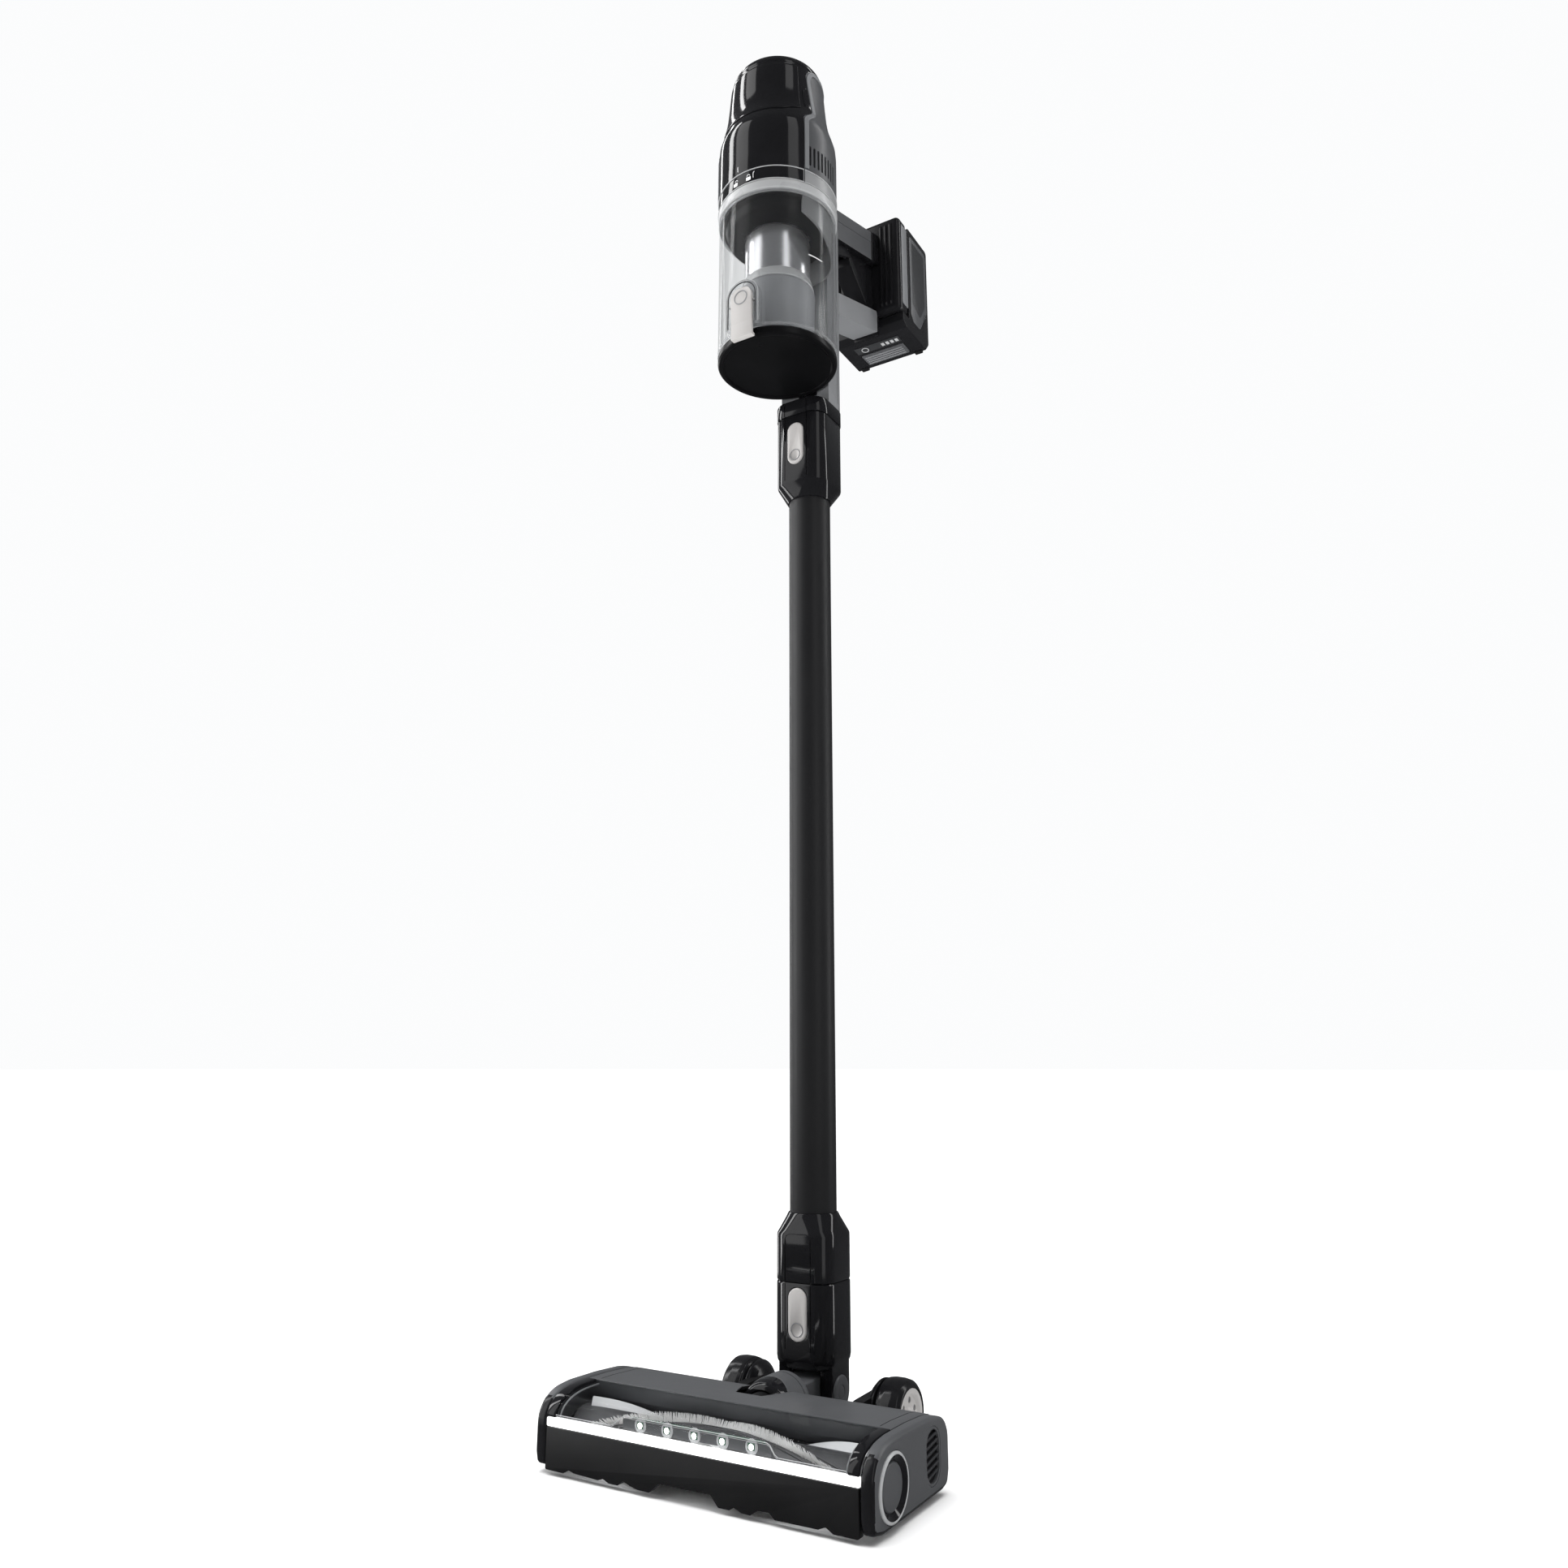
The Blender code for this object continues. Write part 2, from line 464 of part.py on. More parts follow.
# ---- handheld: inlet spine, bin and door ----------------------------------------
band = loft("inlet_band", [(803.4, COLLAR_H, COLLAR_ROUND), (804.0, COLLAR_H + 0.4, COLLAR_ROUND), (816.2, COLLAR_H + 0.4, COLLAR_ROUND), (816.8, COLLAR_H, COLLAR_ROUND)],
            "gloss_black")
cut(band, rod("band_bore_cutter", "Z", 795, 825, (0, 0), 15.8, sides=32))
wand.append(band)
spine = loft("inlet_spine", [(817.1, COLLAR_H - 0.5, COLLAR_ROUND), (818.0, COLLAR_H, COLLAR_ROUND), (1003.0, COLLAR_H, COLLAR_ROUND)], "satin_grey")
cut(spine,
    rod("bin_clear_cutter", "Z", 810, 1010, (0, BIN_Y), BIN_R + 0.7, sides=40),
    box("air_way_cutter", (-15, 6, 810), (15, 19, 1010)),
    rod("ring_clear_cutter", "Z", 965.6, 1010, (0, BIN_Y), 51.8, sides=40),
    rod("door_swing_cutter", "Z", 810, 838.6, (0, BIN_Y), BIN_R + 1.6, sides=40),
    box("hinge_pocket_cutter", (-9.4, -12, 829.5), (9.4, 2.4, 838.5)),
    rod("hinge_hole_cutter", "X", -13.2, 13.2, (-0.8, 834.2), 1.5, sides=14))
wand.append(spine)

shell = turned("bin_shell", "Z", (0, BIN_Y, 902), [(BIN_R, BIN_HI - 902), (BIN_R, BIN_LO - 902), (BIN_R - BIN_WALL, BIN_LO - 902), (BIN_R - BIN_WALL, BIN_HI - 902)], "clear", 40)
wand.append(shell)
door = turned("bin_door", "Z", (0, BIN_Y, 834.2),
              [(0, 5.4), (46.6, 5.4), (46.6, 3.5), (49.9, 3.5), (49.9, -2.0), (48.9, -3.0), (45, -3.0), (44, -0.8), (0, -0.8)], "gloss_black", 40)
join(door,
     box("door_arm_tool", (-9.0, -8.0, 831.8), (9.0, -0.8, 836.6)),
     rod("door_knuckle_tool", "X", -9.0, 9.0, (-0.8, 834.2), 2.6, sides=20),
     box("door_catch_tool", (-8.0, -105.6, 831.9), (8.0, -101.0, 835.6)))
cut(door, rod("door_pin_cutter", "X", -12, 12, (-0.8, 834.2), 1.3, sides=14))
door_pin = rod("door_hinge_pin", "X", -12.8, 12.8, (-0.8, 834.2), 1.22, "steel", 14)
wand.append(door_pin)
seal = turned("door_seal", "Z", (0, BIN_Y, 838.9), [(47.7, 0.8), (47.7, -0.6), (46.9, -0.6), (46.9, 0.8)], "rubber", 40)

latch_base = box("latch_housing", (-15, -108.6, 838.4), (15, -96, 881), "gloss_black", 1.6)
cut(latch_base,
    rod("latch_clear_cutter", "Z", 830, 890, (0, BIN_Y), BIN_R + 0.3, sides=40),
    box("latch_pocket_cutter", (-10.5, -120, 830), (10.5, -104.3, 877.6)),
    rod("latch_hole_cutter", "X", -13, 13, (-106.9, 860), 1.15, sides=12))
wand.append(latch_base)
latch = prism("bin_latch", "X", -10.0, 10.0,
              [(-109.2, 828.8), (-103.9, 828.8), (-103.9, 831.5), (-106.3, 831.9), (-106.3, 858.4), (-105.4, 860.0), (-106.3, 861.6),
               (-106.3, 876.0), (-108.2, 877.2), (-109.9, 874.0), (-110.2, 862.0), (-109.6, 846.0)], "light_grey")
join(latch, rod("latch_pivot_tool", "X", -12.6, 12.6, (-106.9, 860), 0.9, sides=12))

wand.append(turned("bin_ring", "Z", (0, BIN_Y, 976.4), [(51.4, 10.4), (51.4, -10.3), (47.2, -10.3), (47.2, 10.4)], "satin_grey", 40))
deflector = turned("inlet_deflector", "Z", (0, BIN_Y, 947), [(47.4, 18.4), (47.4, -15.5), (45.6, -17.5), (43.5, -17.5), (43.5, 18.4)], "mid_grey", 40)
boolean(deflector, wedge("deflector_wedge", 57, 200, 90, 920, 975), "INTERSECT")
wand.append(deflector)
wand.append(turned("cyclone_shroud", "Z", (0, BIN_Y, 932.3), [(28.0, 33.3), (28.0, -33.2), (26.4, -33.2), (26.4, 33.3)], "steel", 32))
wand.append(turned("cyclone_cup", "Z", (0, BIN_Y, 870.3), [(29.6, 28.4), (31.6, 25.0), (30.4, -28.3), (27.4, -28.3), (27.6, 25), (25.6, 28.4)], "mid_grey", 28))
wand.append(turned("pre_filter", "Z", (0, BIN_Y, 996.5), [(0, 6.0), (39, 6.0), (40.5, 4.5), (40.5, -4.5), (39, -6.0), (0, -6.0)], "felt", 24))

# ---- head: fan, motor, filter and shells -----------------------------------------
impeller = turned("impeller", "Z", (0, BIN_Y, 1009.5), [(2.1, 4.4), (8, 4.4), (12, -1.5), (29, -3.6), (29, -4.8), (2.1, -4.8)], "mid_grey", 24)
motor_top = turned("suction_motor", "Z", (0, BIN_Y, 1040), [(0, 22), (14, 22), (15, 18), (28, 14), (28, -20), (31, -22), (31, -24.5), (1.8, -24.5), (1.8, -34.2), (0, -34.2)], "steel", 24)
wand.append(motor_top)
wand.append(turned("exhaust_filter", "Z", (0, BIN_Y, 1086), [(36.0, 16), (36.0, -16), (24.0, -16), (24.0, 16)], "felt", 24))
head_line = [(36.6, 1109.6), (39.4, 1105.5), (40.4, 1098.0), (43.3, 1066.0), (46.6, 1052.0), (50.4, 1038.5), (51.2, 1030.0), (51.1, 987.2)]
inside = [(48.7, 987.2), (48.8, 1030.0), (44.2, 1051.4), (40.9, 1065.4), (38.0, 1097.6), (33.4, 1109.6)]
head_profile = [(r, z - 1048) for r, z in head_line + inside]
front_shell = turned("head_front_shell", "Z", (0, BIN_Y, 1048), head_profile, "gloss_black", 40)
boolean(front_shell, wedge("front_wedge", -57, 57, 140, 980, 1120), "INTERSECT")
wand.append(front_shell)
rear_shell = turned("head_rear_shell", "Z", (0, BIN_Y, 1048), head_profile, "satin_grey", 40)
cut(rear_shell, wedge("rear_wedge", -57.4, 57.4, 140, 980, 1120))
cut(rear_shell, many_boxes("slot_cutter", [((0, BIN_Y - 50, 1002.0), (2.1, 12, 19.0), s * (62 + 5.2 * k), (0, BIN_Y, 1002)) for s in (-1, 1) for k in range(8)]))
wand.append(rear_shell)
wand.append(turned("head_top_cap", "Z", (0, BIN_Y, 1112), [(0, 4.0), (30.5, 4.0), (34.4, 2.6), (36.4, -0.2), (36.4, -2.1), (0, -2.1)], "satin_grey", 36))


# ---- handle ------------------------------------------------------------------------
def top_line(y):
    return 1034.0 + (y - 25.0) * math.tan(ARM_SLOPE)


def under_line(y):
    return 1003.3 + (y - 26.0) * 0.3163


grip = prism("grip_arm", "X", -GRIP_HALF, GRIP_HALF,
             [(-8, 1003.3), (26, 1003.3), (112.0, under_line(112)), (112.0, top_line(112)), (25, 1034), (-8, 1030)], "satin_grey", round_=5.5, segments=3)
cut(grip,
    rod("head_clear_cutter", "Z", 980, 1060, (0, BIN_Y), 51.6, sides=40),
    prism("panel_cutter", "X", -9.8, 9.8, [(32.6, top_line(32.6) - 2.2), (32.6, top_line(32.6) + 9), (76.4, top_line(76.4) + 9), (76.4, top_line(76.4) - 2.2)]),
    prism("trigger_cutter", "X", -7.5, 7.5, [(27.6, 995), (27.6, 1015.5), (59.5, 1021.5), (59.5, 1000)]),
    rod("trigger_hole_cutter", "X", -11.5, 11.5, (55.5, 1013.2), 1.5, sides=14))
n_up = Vector((0, -math.sin(ARM_SLOPE), math.cos(ARM_SLOPE)))


def tilted_disc(name, y, radius, low, high, colour=None, sides=28, round_=0.0):
    """A short cylinder square to the grip's top face, from `low` to `high` above it."""
    bm = bmesh.new()
    bmesh.ops.create_cone(bm, cap_ends=True, segments=sides, radius1=radius, radius2=radius, depth=high - low)
    bmesh.ops.rotate(bm, matrix=Matrix.Rotation(ARM_SLOPE, 3, "X"), verts=bm.verts)
    foot_point = Vector((0, y, top_line(y)))
    mid = foot_point + n_up * ((low + high) / 2)
    bmesh.ops.translate(bm, vec=mid, verts=bm.verts)
    obj = finish(name, bm, colour, mid)
    return bevel(obj, round_, 2) if round_ else obj


cut(grip, tilted_disc("power_pocket_cutter", 43, 6.7, -5.0, 4.0))
wand.append(grip)
panel = prism("control_panel", "X", -9.4, 9.4,
              [(33.0, top_line(33.0) - 1.9), (33.0, top_line(33.0) + 0.3), (76.0, top_line(76.0) + 0.3), (76.0, top_line(76.0) - 1.9)], "gloss_black")
cut(panel, tilted_disc("power_hole_cutter", 43, 6.6, -6.0, 6.0))
wand.append(panel)
power = tilted_disc("power_button", 43, 6.2, -2.9, 1.3, "light_grey", 20, 0.5)
trigger = prism("trigger", "X", -7.0, 7.0,
                [(30.2, 1007.5), (30.4, 992.5), (33.5, 987.0), (37.5, 987.2), (41.0, 992.0), (46.0, 999.0), (52.5, 1006.0), (58.8, 1010.2), (58.6, 1015.0),
                 (55.0, 1016.4), (44.0, 1011.6)], "matte_black", at=(0, 55.5, 1013.2), round_=1.2)
join(trigger, rod("trigger_pivot_tool", "X", -11.0, 11.0, (55.5, 1013.2), 1.25, sides=14))

low_arm = prism("lower_arm", "X", -13, 13, [(23.9, 925), (23.9, 948), (112.0, 979), (112.0, 956)], "satin_grey", round_=5.0, segments=3)
wand.append(low_arm)
wand.append(prism("handle_web", "X", -9, 9, [(61.5, 1008.5), (61.5, under_line(61.5) - 0.4), (111.9, under_line(111.9) - 0.4), (111.9, 979.4), (101.5, 975.8), (65, 1002.5)], "matte_black", round_=2.0))
dock = box("battery_dock", (-38, DOCK_Y0, 975), (38, DOCK_Y1, 1079), "matte_black", 4.5, segments=3)
join(dock, prism("dock_foot_tool", "X", -12.5, 12.5, [(DOCK_Y0, 951.5), (DOCK_Y0, 990), (117.5, 990), (117.5, 957.5)]))
join(dock, box("contact_block_tool", (-12, DOCK_Y1 - 2, 1000), (12, 136.2, 1030)))
wand.append(dock)
# the pack is an L: a block behind the dock and a sled that reaches under it
pack_side = [(SLED_Y0, PACK_Z0 + 4.5), (SLED_Y0, 974.4), (DOCK_Y1 + 0.4, 974.4), (DOCK_Y1 + 0.4, PACK_Z1), (PACK_Y1, PACK_Z1),
             (PACK_Y1, PACK_Z0 + 9.0), (PACK_Y1 - 7.0, PACK_Z0), (SLED_Y0 + 7.0, PACK_Z0)]
pack = prism("battery_pack", "X", -38, 38, pack_side, "matte_black", round_=3.2, segments=2)
cut(pack,
    box("contact_cutter", (-12.8, 125, 999), (12.8, 137.0, 1090)),
    box("pack_button_cutter", (-23.5, 147.5, 950), (23.5, 165.5, PACK_Z0 + 7.5)))
pack_button = box("battery_release_button", (-23, 148, PACK_Z0 - 1.4), (23, 165, PACK_Z0 + 3.6), "mid_grey", 0.8)

# ---- bodies: each moving body hangs on an empty at its joint ---------------------------
body("foot", (0, 0, 0))
body("roll", (0, -54.5, PIVOT_Z), "foot")
body("wand", (0, 0, PIVOT_Z), "roll")
body("brush", (0, BRUSH_Y, BRUSH_Z), "foot")
body("brush_drive", (-109.2, MOTOR_Y, MOTOR_Z), "foot")
body("release_cap", (126.0, BRUSH_Y, BRUSH_Z), "foot")
for side, s in (("left", -1), ("right", 1)):
    body("roller_" + side, (s * ROLLER_X, ROLLER_Y, ROLLER_R), "foot")
    body("wheel_" + side, (s * WHEEL_X, WHEEL_Y, WHEEL_R), "foot")
body("foot_button", (0, -22.5, 88), "wand")
body("wand_button", (0, -22.5, 776), "wand")
body("door", (0, -0.8, 834.2), "wand")
body("latch", (0, -106.9, 860), "wand")
body("fan", (0, BIN_Y, 1009.5), "wand")
body("trigger_lever", (0, 55.5, 1013.2), "wand")
body("power_key", (0, 43, top_line(43)), "wand")
body("battery", (0, 155, 1023), "wand")
body("battery_key", (0, 156.5, 962), "battery")
HANGS = {
    "foot": foot, "roll": [barrel], "wand": wand, "brush": [brush], "brush_drive": [motor_pulley],
    "release_cap": [release], "roller_left": [rollers["left"]], "roller_right": [rollers["right"]],
    "wheel_left": list(wheels["left"]), "wheel_right": list(wheels["right"]),
    "foot_button": [foot_button], "wand_button": [wand_button], "door": [door, seal], "latch": [latch], "fan": [impeller],
    "trigger_lever": [trigger], "power_key": [power], "battery": [pack], "battery_key": [pack_button],
}


def hang(obj, empty, at):
    obj.parent = empty
    obj.location = obj.location - world(at)


for name, (empty, at, parent) in BODY.items():
    for obj in HANGS[name]:
        tools = {m.object for m in obj.modifiers if m.type == "BOOLEAN"}
        for piece in [obj] + sorted(tools, key=lambda o: o.name):
            hang(piece, empty, at)
for name, (empty, at, parent) in BODY.items():
    if parent:
        empty.parent = BODY[parent][0]
        empty.location = world(at) - world(BODY[parent][1])
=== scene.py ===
"""Looks of the cordless stick vacuum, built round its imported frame.

Lengths are millimetres in the design's own coordinates (wand axis at x = 0, y = 0, floor at z = 0)
and become metres, shifted along y, when a mesh is made.
"""
import math
import random

import bmesh
import bpy
from mathutils import Matrix, Vector


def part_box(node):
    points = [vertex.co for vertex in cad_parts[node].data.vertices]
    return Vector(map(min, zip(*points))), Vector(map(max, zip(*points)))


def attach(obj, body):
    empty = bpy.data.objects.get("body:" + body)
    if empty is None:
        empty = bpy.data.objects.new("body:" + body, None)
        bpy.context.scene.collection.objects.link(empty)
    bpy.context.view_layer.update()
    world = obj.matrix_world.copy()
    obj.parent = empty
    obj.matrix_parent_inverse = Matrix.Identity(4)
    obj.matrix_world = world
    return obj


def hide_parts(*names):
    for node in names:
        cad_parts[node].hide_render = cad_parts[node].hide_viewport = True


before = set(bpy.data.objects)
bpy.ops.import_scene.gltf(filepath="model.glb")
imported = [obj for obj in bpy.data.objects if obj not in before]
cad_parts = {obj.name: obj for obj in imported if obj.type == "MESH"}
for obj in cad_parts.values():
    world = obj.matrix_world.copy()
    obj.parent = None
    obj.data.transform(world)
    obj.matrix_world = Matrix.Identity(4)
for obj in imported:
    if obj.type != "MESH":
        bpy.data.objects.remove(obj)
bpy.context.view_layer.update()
tube_lo, tube_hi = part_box("wand_tube")
SHIFT = (tube_lo[1] + tube_hi[1]) / 2 * 1000.0
MM = 0.001
BIN_Y = -53.0
SLOPE = math.radians(18.2)
random.seed(7)


# ---------------------------------------------------------------- materials
def nodes_of(name):
    m = bpy.data.materials.new(name)
    m.use_nodes = True
    nt = m.node_tree
    return m, nt, nt.nodes["Principled BSDF"]


def add(nt, kind, **values):
    n = nt.nodes.new(kind)
    for key, value in values.items():
        if key in n.inputs:
            n.inputs[key].default_value = value
        else:
            setattr(n, key, value)
    return n


def plastic(name, colour, rough, spread=0.06, grain=2600.0, depth=0.04, metal=0.0, coat=0.0, tone=0.12, streak=None, spec=0.5):
    """A moulded finish: slow tone drift, patchy roughness and a fine moulded grain in the normal."""
    m, nt, bsdf = nodes_of(name)
    coord = add(nt, "ShaderNodeTexCoord")
    where = coord.outputs["Object"]
    if streak:
        mapping = add(nt, "ShaderNodeMapping")
        mapping.inputs["Scale"].default_value = streak
        nt.links.new(where, mapping.inputs["Vector"])
        fine_where = mapping.outputs["Vector"]
    else:
        fine_where = where
    slow = add(nt, "ShaderNodeTexNoise", Scale=22.0, Detail=3.0, Roughness=0.55)
    nt.links.new(where, slow.inputs["Vector"])
    fine = add(nt, "ShaderNodeTexNoise", Scale=grain, Detail=2.0, Roughness=0.6)
    nt.links.new(fine_where, fine.inputs["Vector"])
    ramp = add(nt, "ShaderNodeMapRange")
    ramp.inputs["From Min"].default_value = 0.3
    ramp.inputs["From Max"].default_value = 0.7
    ramp.inputs["To Min"].default_value = 1.0 - tone
    ramp.inputs["To Max"].default_value = 1.0 + tone
    nt.links.new(slow.outputs["Fac"], ramp.inputs["Value"])
    mix = add(nt, "ShaderNodeVectorMath", operation="SCALE")
    mix.inputs[0].default_value = colour
    nt.links.new(ramp.outputs["Result"], mix.inputs["Scale"])
    nt.links.new(mix.outputs["Vector"], bsdf.inputs["Base Color"])
    rr = add(nt, "ShaderNodeMapRange")
    rr.inputs["From Min"].default_value = 0.25
    rr.inputs["From Max"].default_value = 0.75
    rr.inputs["To Min"].default_value = max(0.02, rough - spread)
    rr.inputs["To Max"].default_value = rough + spread
    nt.links.new(slow.outputs["Fac"], rr.inputs["Value"])
    nt.links.new(rr.outputs["Result"], bsdf.inputs["Roughness"])
    if depth:
        bump = add(nt, "ShaderNodeBump", Strength=depth, Distance=0.0004)
        nt.links.new(fine.outputs["Fac"], bump.inputs["Height"])
        nt.links.new(bump.outputs["Normal"], bsdf.inputs["Normal"])
    bsdf.inputs["Metallic"].default_value = metal
    bsdf.inputs["Specular IOR Level"].default_value = spec
    if coat:
        bsdf.inputs["Coat Weight"].default_value = coat
        bsdf.inputs["Coat Roughness"].default_value = 0.06
    return m


def glassy(name, tint, gloss_base=0.04, edge=0.55, rough=0.03, body=0.0, body_colour=(0.5, 0.5, 0.5), blend=0.35):
    """Thin clear plastic: see-through face on, mirror-like at the edges, with a faint body colour."""
    m, nt, bsdf = nodes_of(name)
    out = nt.nodes["Material Output"]
    bsdf.inputs["Base Color"].default_value = (*body_colour, 1)
    bsdf.inputs["Roughness"].default_value = rough
    bsdf.inputs["IOR"].default_value = 1.5
    coord = add(nt, "ShaderNodeTexCoord")
    haze = add(nt, "ShaderNodeTexNoise", Scale=60.0, Detail=4.0, Roughness=0.6)
    nt.links.new(coord.outputs["Object"], haze.inputs["Vector"])
    hz = add(nt, "ShaderNodeMapRange")
    hz.inputs["From Min"].default_value = 0.35
    hz.inputs["From Max"].default_value = 0.75
    hz.inputs["To Min"].default_value = rough
    hz.inputs["To Max"].default_value = rough + 0.06
    nt.links.new(haze.outputs["Fac"], hz.inputs["Value"])
    nt.links.new(hz.outputs["Result"], bsdf.inputs["Roughness"])
    see = add(nt, "ShaderNodeBsdfTransparent")
    see.inputs["Color"].default_value = (*tint, 1)
    rim = add(nt, "ShaderNodeLayerWeight", Blend=blend)
    span = add(nt, "ShaderNodeMapRange")
    span.inputs["To Min"].default_value = gloss_base + body
    span.inputs["To Max"].default_value = edge
    nt.links.new(rim.outputs["Facing"], span.inputs["Value"])
    mix = add(nt, "ShaderNodeMixShader")
    nt.links.new(span.outputs["Result"], mix.inputs["Fac"])
    nt.links.new(see.outputs["BSDF"], mix.inputs[1])
    nt.links.new(bsdf.outputs["BSDF"], mix.inputs[2])
    nt.links.new(mix.outputs["Shader"], out.inputs["Surface"])
    return m


def glow(name, colour, strength):
    m, nt, bsdf = nodes_of(name)
    bsdf.inputs["Base Color"].default_value = (*colour, 1)
    bsdf.inputs["Roughness"].default_value = 0.25
    coord = add(nt, "ShaderNodeTexCoord")
    noise = add(nt, "ShaderNodeTexNoise", Scale=35.0, Detail=1.0)
    nt.links.new(coord.outputs["Object"], noise.inputs["Vector"])
    rng = add(nt, "ShaderNodeMapRange")
    rng.inputs["To Min"].default_value = 0.9
    rng.inputs["To Max"].default_value = 1.1
    nt.links.new(noise.outputs["Fac"], rng.inputs["Value"])
    tone = add(nt, "ShaderNodeVectorMath", operation="SCALE")
    tone.inputs[0].default_value = colour
    nt.links.new(rng.outputs["Result"], tone.inputs["Scale"])
    nt.links.new(tone.outputs["Vector"], bsdf.inputs["Emission Color"])
    bsdf.inputs["Emission Strength"].default_value = strength
    return m


def mesh_metal(name):
    """Bright perforated sheet: rows of small dark holes from the piece's own UVs, over plain metal."""
    m, nt, bsdf = nodes_of(name)
    uv = add(nt, "ShaderNodeTexCoord")
    sep = add(nt, "ShaderNodeSeparateXYZ")
    nt.links.new(uv.outputs["UV"], sep.inputs["Vector"])

    def math_node(op, a, b=None):
        n = add(nt, "ShaderNodeMath", operation=op)
        for i, v in enumerate((a, b)):
            if v is None:
                continue
            if isinstance(v, (int, float)):
                n.inputs[i].default_value = v
            else:
                nt.links.new(v, n.inputs[i])
        return n.outputs[0]

    pitch = 1.5
    row = math_node("DIVIDE", sep.outputs["Y"], pitch * 0.866)
    odd = math_node("MULTIPLY", math_node("MODULO", math_node("FLOOR", row), 2.0), 0.5)
    cu = math_node("SUBTRACT", math_node("FRACT", math_node("ADD", math_node("DIVIDE", sep.outputs["X"], pitch), odd)), 0.5)
    cv = math_node("SUBTRACT", math_node("FRACT", row), 0.5)
    dist = math_node("SQRT", math_node("ADD", math_node("MULTIPLY", cu, cu), math_node("MULTIPLY", cv, cv)))
    hole = add(nt, "ShaderNodeMapRange")
    hole.inputs["From Min"].default_value = 0.22
    hole.inputs["From Max"].default_value = 0.34
    nt.links.new(dist, hole.inputs["Value"])
    colour = add(nt, "ShaderNodeMix", data_type="RGBA")
    colour.inputs["A"].default_value = (0.05, 0.05, 0.055, 1)
    colour.inputs["B"].default_value = (0.72, 0.72, 0.74, 1)
    for s in colour.inputs:
        if s.type == "RGBA" and s.name == "A":
            s.default_value = (0.26, 0.26, 0.265, 1)
        if s.type == "RGBA" and s.name == "B":
            s.default_value = (0.78, 0.78, 0.80, 1)
    nt.links.new(hole.outputs["Result"], colour.inputs["Factor"])
    nt.links.new([o for o in colour.outputs if o.type == "RGBA"][0], bsdf.inputs["Base Color"])
    bump = add(nt, "ShaderNodeBump", Strength=0.12, Distance=0.0001)
    nt.links.new(hole.outputs["Result"], bump.inputs["Height"])
    nt.links.new(bump.outputs["Normal"], bsdf.inputs["Normal"])
    bsdf.inputs["Metallic"].default_value = 0.9
    bsdf.inputs["Roughness"].default_value = 0.24
    return m


